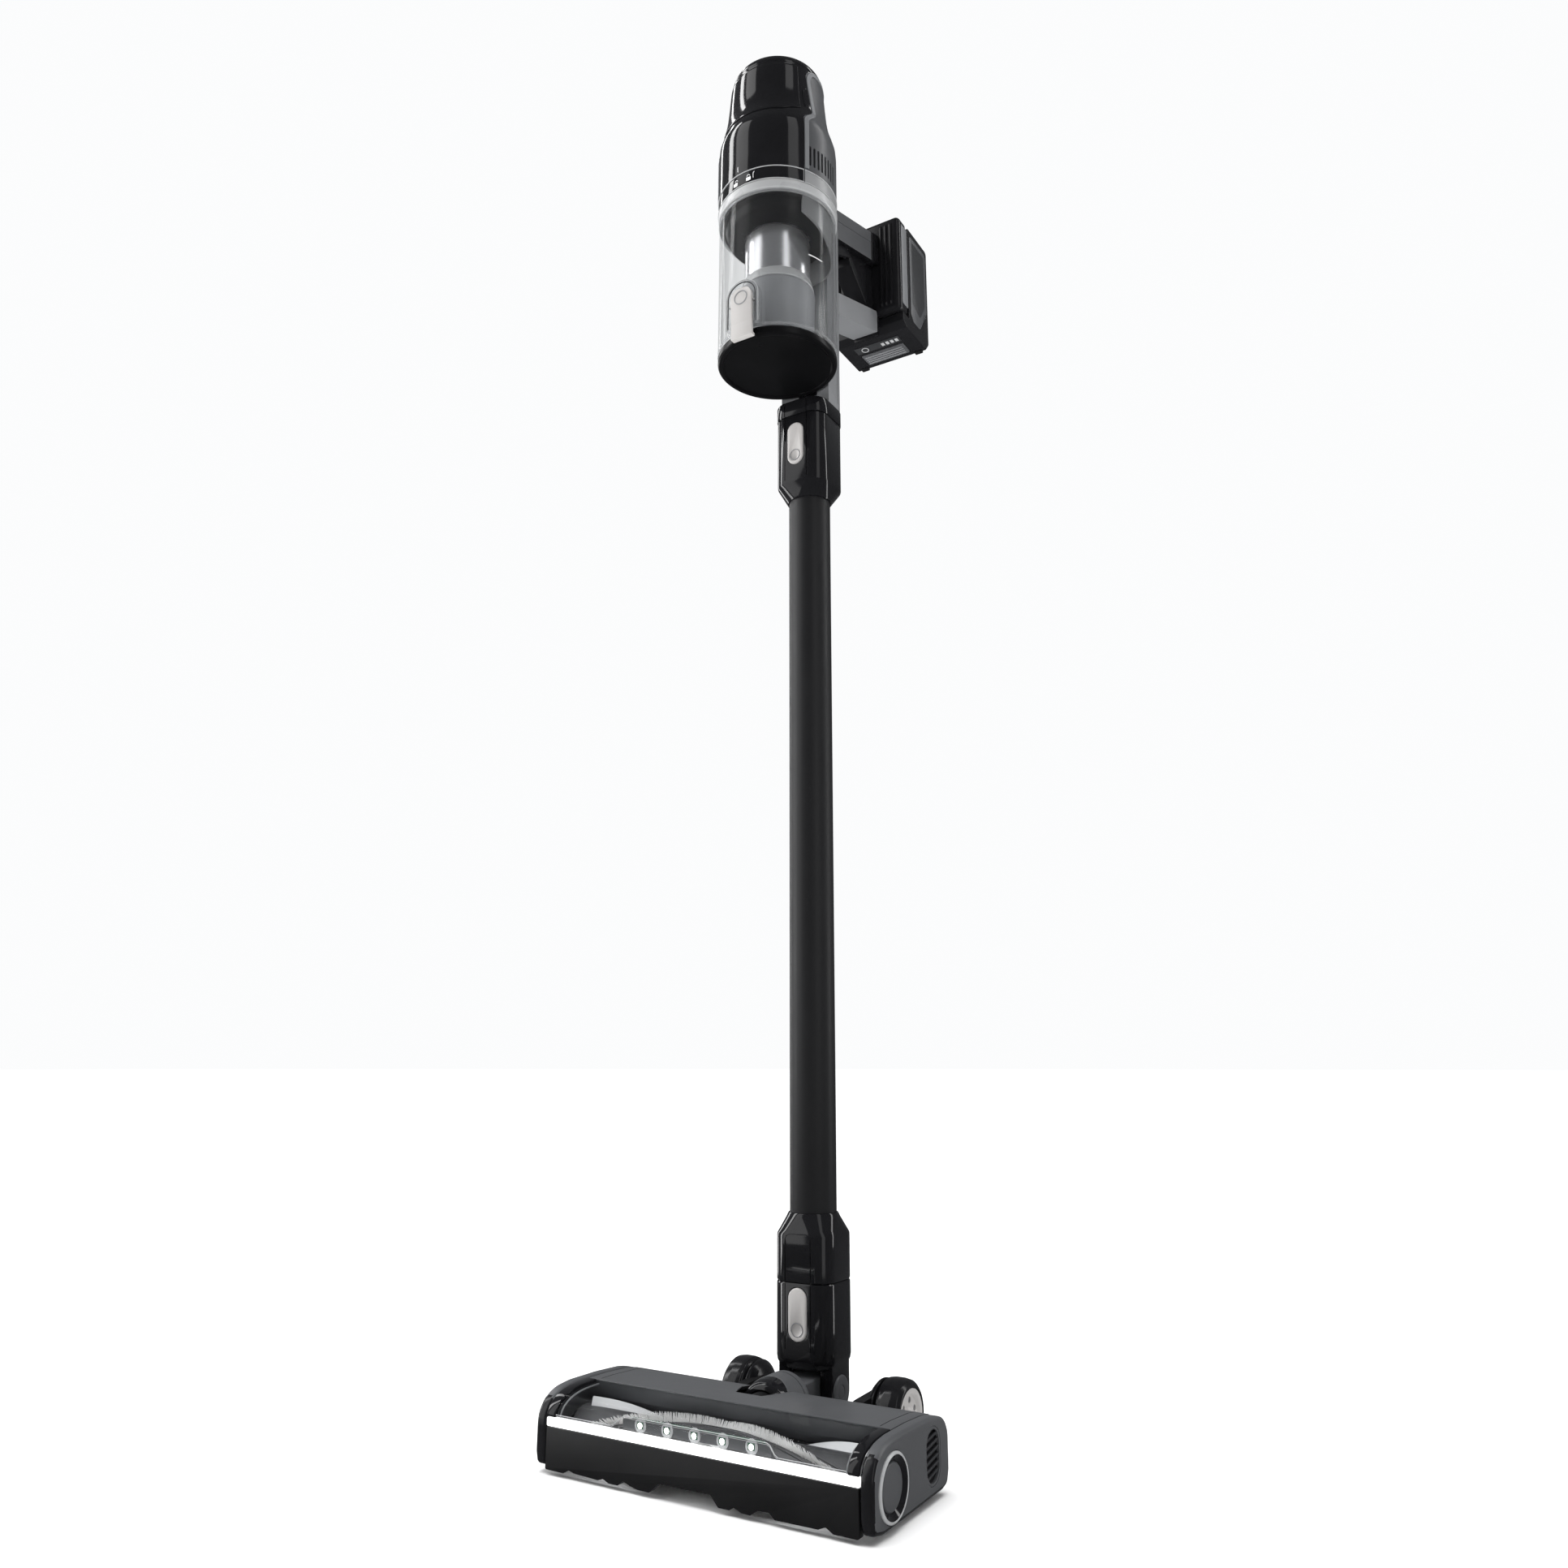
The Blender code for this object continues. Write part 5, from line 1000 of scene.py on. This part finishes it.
Z_ROWS = [987.2, 988.2, 994, 1002, 1010, 1018, 1026, 1031, 1034, 1037, 1040, 1043, 1046, 1049, 1052, 1056, 1061, 1067, 1074, 1081, 1088, 1093, 1096.5, 1099, 1101, 1103, 1105, 1106.4, 1107.6, 1108.6, 1109.4]


def edge_az(z):
    """Azimuth of the seam between the front shell and the side panel at height z."""
    if z < 1040:
        return 57.0
    if z < 1052:
        t = (z - 1040) / 12.0
        t = t * t * (3 - 2 * t)
        return 57.0 + 14.0 * t
    if z < 1092:
        return 71.0 - 4.0 * (z - 1052) / 40.0
    if z < 1101:
        t = (z - 1092) / 9.0
        return 67.0 + 22.0 * (1 - math.sqrt(max(0.0, 1 - t * t)))
    return 89.0


def head_skin(name, spans, mat, offset=0.0, thick=2.2, columns=72, zs=None):
    """A curved sheet on the head's surface; spans gives the two azimuths at each height."""
    zs = zs or Z_ROWS
    bm = bmesh.new()
    grid = []
    for z in zs:
        a0, a1 = spans(z)
        r = radius_at(z) + offset
        grid.append([bm.verts.new((r * math.sin(math.radians(a0 + (a1 - a0) * i / columns)), BIN_Y - r * math.cos(math.radians(a0 + (a1 - a0) * i / columns)), z)) for i in range(columns + 1)])
    for a, b in zip(grid, grid[1:]):
        for i in range(columns):
            bm.faces.new((a[i], a[i + 1], b[i + 1], b[i]))
    bmesh.ops.recalc_face_normals(bm, faces=bm.faces)
    centre = Vector((0, BIN_Y, 0))
    f = bm.faces[0] if hasattr(bm.faces, "ensure_lookup_table") and not bm.faces.ensure_lookup_table() else None
    f = bm.faces[len(bm.faces) // 2]
    c = f.calc_center_median()
    if f.normal.dot(Vector((c.x, c.y - BIN_Y, 0))) < 0:
        bmesh.ops.reverse_faces(bm, faces=bm.faces)
    obj = done(name, bm, mat)
    m = obj.modifiers.new("s", "SOLIDIFY")
    m.thickness = thick * MM
    m.offset = -1.0
    m.use_even_offset = True
    bake(obj)
    return obj


PANEL_TOP = 1101.0
front = head_skin("head_front", lambda z: (-edge_az(z) + 0.25, edge_az(z) - 0.25), "gloss", zs=[z for z in Z_ROWS if z <= PANEL_TOP])
crown = lathe("t", "Z", (0, BIN_Y, 0), fillet([(40.15, 1101.1), (39.75, 1104.0), (39.0, 1106.4), (37.6, 1108.6), (36.3, 1109.4), (33.6, 1109.4), (33.6, 1106.0), (36.6, 1104.0), (38.0, 1101.1)], [0.2, 2, 2, 2, 1, 0.3, 0.5, 2, 0.2], 4), "gloss", 160)


def chin(z):
    t = min(1.0, max(0.0, (z - 1044.0) / 8.0))
    return 30.0 + 26.0 * t


brow = head_skin("t", lambda z: (-chin(z), chin(z)), "gloss", 0.8, 1.2, 64, [z for z in Z_ROWS if 1043.5 <= z <= 1097.0] + [1098.0])
bevel(brow, 0.5, 3)
front_full = joined("head_front_full", [front, crown, brow])
put(front_full, W, "gloss_black", "head_front_shell")
rear = head_skin("t", lambda z: (edge_az(z) + 0.25, 360 - edge_az(z) - 0.25), "satin", 0.0, 2.2, 150, [z for z in Z_ROWS if z <= PANEL_TOP])
slots = []
for s in (-1, 1):
    for k in range(8):
        az = math.radians(s * (63.5 + 5.0 * k))
        c = Vector((50.0 * math.sin(az), BIN_Y - 50.0 * math.cos(az), 0))
        height = 19.0 - 0.0 * k
        bm = bmesh.new()
        bmesh.ops.create_cube(bm, size=1.0)
        bmesh.ops.scale(bm, vec=(2.2, 14, height), verts=bm.verts)
        bmesh.ops.rotate(bm, matrix=Matrix.Rotation(az, 3, "Z"), verts=bm.verts)
        bmesh.ops.translate(bm, vec=(c.x, c.y, 1002.5), verts=bm.verts)
        slots.append(bevel(done("t", bm, None), 0.8, 2))
boolean(rear, slots)
put(rear, W, "satin_grey", "head_rear_shell")
rear.name = "head_rear_panels"
# matte black sheet behind the slots: painted shade for the dark interior seen through them
put(lathe("slot_shade_sheet", "Z", (0, BIN_Y, 0), [(46.4, 989), (47.2, 989), (47.2, 1016), (46.4, 1016)], "matte", 96), W, "matte_black")
# raised frame round each side panel
def frame_band(name, path, half, rise, mat):
    """A flat raised band that lies on the head's surface along a path of (azimuth, height)."""
    fine = smooth_line(path, 6)
    bm = bmesh.new()
    rows = []
    for i, (az, z) in enumerate(fine):
        a, b = fine[max(0, i - 1)], fine[min(len(fine) - 1, i + 1)]
        r = radius_at(z)
        tu, tv = math.radians(b[0] - a[0]) * r, b[1] - a[1]
        n = math.hypot(tu, tv) or 1.0
        su, sv = -tv / n, tu / n
        row = []
        for w, h in ((-half, -0.9), (-half, rise * 0.55), (-half * 0.72, rise), (half * 0.72, rise), (half, rise * 0.55), (half, -0.9)):
            aa = math.radians(az) + su * w / r
            zz = min(z + sv * w, 1105.0)
            rr = radius_at(zz) + h
            row.append(bm.verts.new((rr * math.sin(aa), BIN_Y - rr * math.cos(aa), zz)))
        rows.append(row)
    for a, b in zip(rows, rows[1:]):
        for k in range(6):
            j = (k + 1) % 6
            bm.faces.new((a[k], a[j], b[j], b[k]))
    bm.faces.new(rows[0])
    bm.faces.new(rows[-1])
    bmesh.ops.recalc_face_normals(bm, faces=bm.faces)
    return done(name, bm, mat, 30)


for s, side in ((-1, "left"), (1, "right")):
    path = [(s * 60.0, 989.0), (s * 60.0, 1010.0), (s * 60.0, 1033.0), (s * 61.5, 1039.5), (s * 66.5, 1044.5), (s * 71.5, 1049.0), (s * 73.6, 1054.5), (s * 73.0, 1070.0),
            (s * 71.0, 1085.0), (s * 72.5, 1092.5), (s * 78.5, 1098.4), (s * 88.0, 1100.4), (s * 100, 1100.6), (s * 140, 1100.6), (s * 179.6, 1100.6)]
    put(frame_band("panel_frame_" + side, path, 2.0, 0.75, "satin_light"), W, "satin_grey")
    tab_path = [(s * 62.5, 1057.0), (s * 62.0, 1064.0), (s * 61.5, 1072.0), (s * 63.0, 1076.0), (s * 66.5, 1077.5)]
    put(frame_band("panel_notch_" + side, tab_path, 0.7, 0.5, "gloss"), W, "gloss_black")

cap_prof = [(0, 1115.9)] + fillet([(0, 1115.9), (10.0, 1115.8), (24.0, 1113.4), (33.0, 1110.6), (36.0, 1109.95), (36.0, 1109.5), (0, 1109.5)], [0, 20, 30, 20, 0.2, 0.2, 0], 6)[1:-1] + [(0, 1109.5)]
cap = lathe("t", "Z", (0, BIN_Y, 0), cap_prof, "gloss_deep", 160)
grooves_ = []
for r in (12.0, 17.5, 23.0):
    grooves_.append(lathe("t", "Z", (0, BIN_Y, 0), [(r - 0.7, 1114.6 - 0.09 * (r - 6.0)), (r + 0.7, 1114.6 - 0.09 * (r - 6.0)), (r + 0.7, 1118), (r - 0.7, 1118)], None, 128))
boolean(cap, grooves_)
cap.name = "top_cap_dome"
put(cap, W, "satin_grey", "head_top_cap")

# ---------------------------------------------------------------- handle
TAN = math.tan(SLOPE)


def top(y):
    return 1034.0 + (y - 25.0) * TAN


def under(y):
    return 1003.3 + (y - 26.0) * 0.3163


grip_line = fillet([(-8, 1003.4), (26, 1003.4), (111.9, under(111.9)), (111.9, top(111.9)), (25, 1034), (-8, 1030)], [0.5, 20, 3, 9, 30, 0.5], 6)
grip = prism("grip_shell", "X", -15, 15, grip_line, "satin", 5.6, 6)
panel_cut = [(30.8, top(30.8) - 2.2), (30.8, top(30.8) + 9), (96.4, top(96.4) + 9), (96.4, top(96.4) - 2.2)]
boolean(grip, [rod("t", "Z", 980, 1060, (0, BIN_Y), 51.6, None, 160),
               prism("t", "X", -9.9, 9.9, panel_cut, None),
               prism("t", "X", -7.5, 7.5, [(27.6, 995), (27.6, 1015.5), (59.5, 1021.5), (59.5, 1000)], None)])
seams = []
for s in (-1, 1):
    seams.append(prism("t", "X", *sorted((s * 14.6, s * 16)), [(6, 1020.2), (6, 1020.8), (26, 1022.8), (112, 1022.8 + 86 * TAN), (112, 1022.2 + 86 * TAN), (26, 1022.2)], None))
boolean(grip, seams)
grip.data.materials.append(M["gloss_soft"])
for poly in grip.data.polygons:
    c = poly.center / MM
    y, z = c.y - SHIFT, c.z
    if z < under(y) + 5.2:
        poly.material_index = 1
put(grip, W, "satin_grey", "grip_arm")
up = Vector((0, -math.sin(SLOPE), math.cos(SLOPE)))
inlay_line = fillet([(31.2, top(31.2) - 2.0), (31.2, top(31.2) + 0.35), (53.4, top(53.4) + 0.35), (53.4, top(53.4) - 2.0)], [0.2, 0.8, 0.6, 0.2], 4)
inlay = prism("control_panel_face", "X", -9.6, 9.6, inlay_line, "satin_dark", 0.5, 3)


def disc(y, radius, low, high, mat, sides=64, round_=0.0):
    bm = bmesh.new()
    bmesh.ops.create_cone(bm, cap_ends=True, segments=sides, radius1=radius, radius2=radius, depth=high - low)
    bmesh.ops.rotate(bm, matrix=Matrix.Rotation(SLOPE, 3, "X"), verts=bm.verts)
    mid = Vector((0, y, top(y))) + up * ((low + high) / 2)
    bmesh.ops.translate(bm, vec=mid, verts=bm.verts)
    o = done("t", bm, mat)
    return bevel(o, round_, 3) if round_ else o


boolean(inlay, [disc(43, 6.6, -6, 6, None)])
put(inlay, W, "gloss_black", "control_panel")
grip_top = prism("grip_top_inlay", "X", -9.5, 9.5, fillet([(54.2, top(54.2) - 2.0), (54.2, top(54.2) + 0.5), (96.0, top(96.0) + 0.5), (96.0, top(96.0) - 2.0)], [0.2, 0.8, 1.4, 0.2], 4), "satin_light", 0.7, 3)
put(grip_top, W, "satin_grey")
key = disc(43, 6.2, -2.8, 1.25, "button", 64, 0.7)
icon = []
pts = []
for k in range(25):
    t = math.radians(125 + 290 * k / 24)
    v = Vector((3.0 * math.cos(t), 3.0 * math.sin(t) * math.cos(SLOPE), 3.0 * math.sin(t) * math.sin(SLOPE)))
    pts.append(Vector((0, 43, top(43))) + up * 1.32 + v)
icon.append(ribbon("t", pts, 0.36, "matte", 6))
tv = Vector((0, math.cos(SLOPE), math.sin(SLOPE)))
icon.append(ribbon("t", [Vector((0, 43, top(43))) + up * 1.32 + tv * 1.2, Vector((0, 43, top(43))) + up * 1.32 + tv * 4.2], 0.36, "matte", 6))
put(joined("power_key_cap", [key] + icon), "power_key", "light_grey", "power_button")

# rounded palm roll under the grip, between trigger and dock
roll_path = [(0, 62 + 43 * k / 10, under(62 + 43 * k / 10) + 2.6) for k in range(11)]
put(ribbon("grip_underside", roll_path, 7.4, "satin_dark", 40), W, "matte_black")

trig_line = fillet([(30.3, 1007.3), (30.5, 992.5), (33.3, 987.2), (37.5, 987.2), (41.2, 992.4), (46.2, 999.2), (52.5, 1006.0), (58.6, 1010.2), (58.4, 1014.8), (55.0, 1016.2), (44.0, 1011.4)],
                   [1, 6, 3, 3, 10, 14, 12, 2, 2, 2, 10], 5)
trig = prism("t", "X", -6.9, 6.9, trig_line, "gloss_soft", 1.8, 4)
tp = rod("t", "X", -11.0, 11.0, (55.5, 1013.2), 1.25, "steel", 24)
put(joined("trigger_blade", [trig, tp]), "trigger_lever", "matte_black", "trigger")
# trigger guard cheeks, black
for s, side in ((-1, "left"), (1, "right")):
    cheek = prism("trigger_cheek_" + side, "X", *sorted((s * 7.7, s * 11.2)), fillet([(24.2, 1006.0), (24.2, 985), (28.0, 987.5), (36, 994.0), (52, 1001.5), (61.2, 1006.5), (61.2, 1015.5), (40, 1010.4)], [1, 1.5, 4, 8, 12, 2, 1, 6], 5), "gloss_soft", 1.3, 4)
    boolean(cheek, [rod("t", "X", -20, 20, (55.5, 1013.2), 1.6, None, 24)])
    put(cheek, W, "matte_black")

arm = prism("lower_arm_shell", "X", -13, 13, fillet([(23.9, 925), (23.9, 948), (112.0, 979), (112.0, 956)], [0.4, 0.4, 2, 2], 4), "satin_light", 5.2, 6)
put(arm, W, "satin_grey", "lower_arm")
ridge = prism("lower_arm_ridge", "X", -7.5, 7.5, fillet([(26, 947.6), (26, 950.2), (108, 979.0), (108, 976.4)], [0.4, 1.4, 1.4, 0.4], 4), "satin", 1.2, 3)
put(ridge, W, "satin_grey")

web = prism("web_gusset", "X", -9, 9, fillet([(61.5, 1008.5), (61.5, under(61.5) - 0.4), (111.9, under(111.9) - 0.4), (111.9, 979.4), (101.5, 975.8), (65, 1002.5)], [3, 0.5, 1, 1, 6, 5], 6), "gloss_soft", 2.8, 5)
put(web, W, "matte_black", "handle_web")
# black sleeve at the end of the grip, where it meets the dock
sleeve_line = fillet([(97.2, under(97.2) - 1.0), (97.2, top(97.2) + 0.7), (113.0, top(113.0) + 0.4), (113.0, under(113.0) - 1.0)], [2.5, 3, 1, 1], 5)
put(prism("grip_sleeve", "X", -15.6, 15.6, sleeve_line, "gloss_soft", 4.5, 5), W, "matte_black")

dock = block("t", (-37.6, 112.4, 975), (37.6, 132, 1079), "gloss_soft", 5.0, 5)
dfoot = prism("t", "X", -12.5, 12.5, fillet([(112.4, 951.5), (112.4, 990), (117.5, 990), (117.5, 957.5)], [1, 0, 0, 1], 3), "gloss_soft", 1.0, 2)
contact = block("t", (-12, 131, 1000), (12, 136.2, 1030), "mid", 0.8)
ribs = []
for s in (-1, 1):
    for k in range(3):
        x = s * (18.5 + 5.2 * k)
        ribs.append(prism("t", "X", x - 1.1, x + 1.1, fillet([(110.9, 985), (110.9, 1070), (113.2, 1074), (113.2, 980)], [1.5, 3, 0.3, 0.3], 3), "gloss_soft", 0.7, 2))
sides = []
for s in (-1, 1):
    sides.append(prism("t", "X", *sorted((s * 37.2, s * 38.0)), fillet([(118.5, 984), (118.5, 1072), (130.6, 1072), (130.6, 984)], 1.5, 4), "satin_light", 0.3, 2))
put(joined("dock_full", [dock, dfoot, contact] + ribs + sides), W, "matte_black", "battery_dock")

# battery
B = "battery"
pack_line = fillet([(118.6, 965.5), (118.6, 974.3), (132.4, 974.3), (132.4, 1077), (178, 1077), (178, 970), (171, 961), (125.6, 961)], [1.5, 0.8, 0.8, 3, 4, 5, 3, 3], 5)
pack = prism("t", "X", -37.8, 37.8, pack_line, "gloss_soft", 3.4, 5)
boolean(pack, [block("t", (-12.8, 125, 999), (12.8, 137.0, 1090), None), block("t", (-23.5, 147.5, 950), (23.5, 165.5, 968.5), None)])
extra = []
for s in (-1, 1):
    frame_line = fillet([(137, 982), (137, 1071), (173, 1071), (174.6, 1066), (174.6, 1004), (158, 976), (143, 976)], [3, 4, 4, 4, 5, 6, 4], 5)
    extra.append(prism("t", "X", *sorted((s * 37.0, s * 38.0)), frame_line, "satin", 0.35, 2))
    label = fillet([(141, 996), (141, 1066), (170, 1066), (170, 1008), (158, 988)], [2, 3, 3, 3, 5], 5)
    extra.append(prism("t", "X", *sorted((s * 37.6, s * 38.12)), label, "satin_dark", 0.15, 2))
    for k in range(11):
        zz = 980.0 + 2.3 * k
        y1 = 171.5 if zz > 996 else 158.5 + (zz - 978) * 0.62
        y0 = 159.0 + (zz - 980) * 0.55
        if y1 - y0 > 1.5:
            extra.append(prism("t", "X", *sorted((s * 37.6, s * 38.25)), [(y0, zz), (y0, zz + 0.9), (y1, zz + 0.9), (y1, zz)], "satin", 0.0))
gauge = block("t", (-24, 133.5, 960.3), (24, 143.5, 962), "satin_dark", 0.3, 2)
extra.append(gauge)
for k in range(4):
    extra.append(block("t", (4 + 5.0 * k, 136.2, 959.95), (7.2 + 5.0 * k, 140.8, 960.6), "pale", 0.15, 2))
extra.append(lathe("t", "Z", (-14, 138.5, 0), [(3.0, 959.9), (3.7, 959.9), (3.7, 960.6), (3.0, 960.6)], "pale", 48))
for s in (-1, 1):
    extra.append(block("t", (s * 30 - 4, 168, 959.8), (s * 30 + 4, 172.5, 962.5), "rubber", 0.6, 2))
put(joined("battery_full", [pack] + extra), B, "matte_black", "battery_pack")
rb = block("t", (-23, 148, 960.2), (23, 165, 964.6), "satin", 0.9, 3)
rr = [block("t", (-20.5, 150.4 + 3.3 * k, 959.2), (20.5, 152.0 + 3.3 * k, 960.6), "satin_light", 0.35, 2) for k in range(4)]
put(joined("battery_release_pad", [rb] + rr), "battery_key", "mid_grey", "battery_release_button")

# ---------------------------------------------------------------- stage
bm = bmesh.new()
bmesh.ops.create_grid(bm, x_segments=2, y_segments=2, size=60.0)
mesh = bpy.data.meshes.new("floor")
bm.to_mesh(mesh)
bm.free()
floor = bpy.data.objects.new("floor", mesh)
bpy.context.scene.collection.objects.link(floor)
fm, nt, bsdf = nodes_of("floor_pale")
bsdf.inputs["Base Color"].default_value = (0.90, 0.90, 0.90, 1)
bsdf.inputs["Roughness"].default_value = 0.9
bsdf.inputs["Specular IOR Level"].default_value = 0.0
mesh.materials.append(fm)

world = bpy.data.worlds.new("studio")
bpy.context.scene.world = world
world.use_nodes = True
wt = world.node_tree
bg = wt.nodes["Background"]
bg.inputs["Color"].default_value = (0.97, 0.975, 0.98, 1)
bg.inputs["Strength"].default_value = 1.0
dim = wt.nodes.new("ShaderNodeBackground")
dim.inputs["Color"].default_value = (0.95, 0.97, 1.0, 1)
dim.inputs["Strength"].default_value = 0.14
seen = wt.nodes.new("ShaderNodeLightPath")
pick = wt.nodes.new("ShaderNodeMixShader")
wt.links.new(seen.outputs["Is Camera Ray"], pick.inputs["Fac"])
wt.links.new(dim.outputs["Background"], pick.inputs[1])
wt.links.new(bg.outputs["Background"], pick.inputs[2])
wt.links.new(pick.outputs["Shader"], wt.nodes["World Output"].inputs["Surface"])


def area(name, where, aim, size, power, size_y=None):
    d = bpy.data.lights.new(name, "AREA")
    d.energy = power
    d.shape = "RECTANGLE"
    d.size = size
    d.size_y = size_y or size
    o = bpy.data.objects.new(name, d)
    bpy.context.scene.collection.objects.link(o)
    o.location = where
    o.rotation_euler = (Vector(aim) - Vector(where)).to_track_quat("-Z", "Y").to_euler()
    return o


area("left_strip", (-1.96, -0.76, 2.1), (0, 0, 2.1), 0.42, 56, 4.6)
area("left_soft", (-1.57, -1.81, 2.1), (0, 0, 2.1), 1.2, 36, 4.6)
area("left_rim", (-1.95, 0.62, 2.1), (0, 0, 2.1), 0.26, 22, 4.6)
area("right_rim", (1.62, 1.27, 2.1), (0, 0, 2.1), 0.26, 24, 4.6)
area("front_right", (2.0, -1.15, 2.1), (0, 0, 2.1), 0.8, 16, 4.6)
area("top", (-0.5, -0.1, 3.6), (0, 0, 0.5), 1.1, 10).visible_glossy = False
glow_lamp = area("lamp_glow", (0, (-146.5 + SHIFT) * MM, 43.5 * MM), (0, (-128 + SHIFT) * MM, 36 * MM), 0.19, 0.018, 0.006)
glow_lamp.visible_camera = False
sun_data = bpy.data.lights.new("overhead", "SUN")
sun_data.energy = 3.3
sun_data.angle = math.radians(50)
sun = bpy.data.objects.new("overhead", sun_data)
bpy.context.scene.collection.objects.link(sun)
sun.rotation_euler = (0.0, 0.0, 0.0)
sun.visible_glossy = False
floor.visible_glossy = False

cam_data = bpy.data.cameras.new("camera")
camera = bpy.data.objects.new("camera", cam_data)
bpy.context.scene.collection.objects.link(camera)
cam_data.sensor_width = 36.0
cam_data.lens = 27.37
az, pitch = math.radians(31.15), math.radians(13.22)
camera.location = (0.467, -0.815 + SHIFT * MM, 0.263)
look = Vector((-math.sin(az) * math.cos(pitch), math.cos(az) * math.cos(pitch), math.sin(pitch)))
camera.rotation_euler = look.to_track_quat("-Z", "Y").to_euler()
cam_data.clip_start = 0.02
cam_data.clip_end = 60
bpy.context.scene.camera = camera
bpy.context.scene.view_settings.view_transform = "Standard"
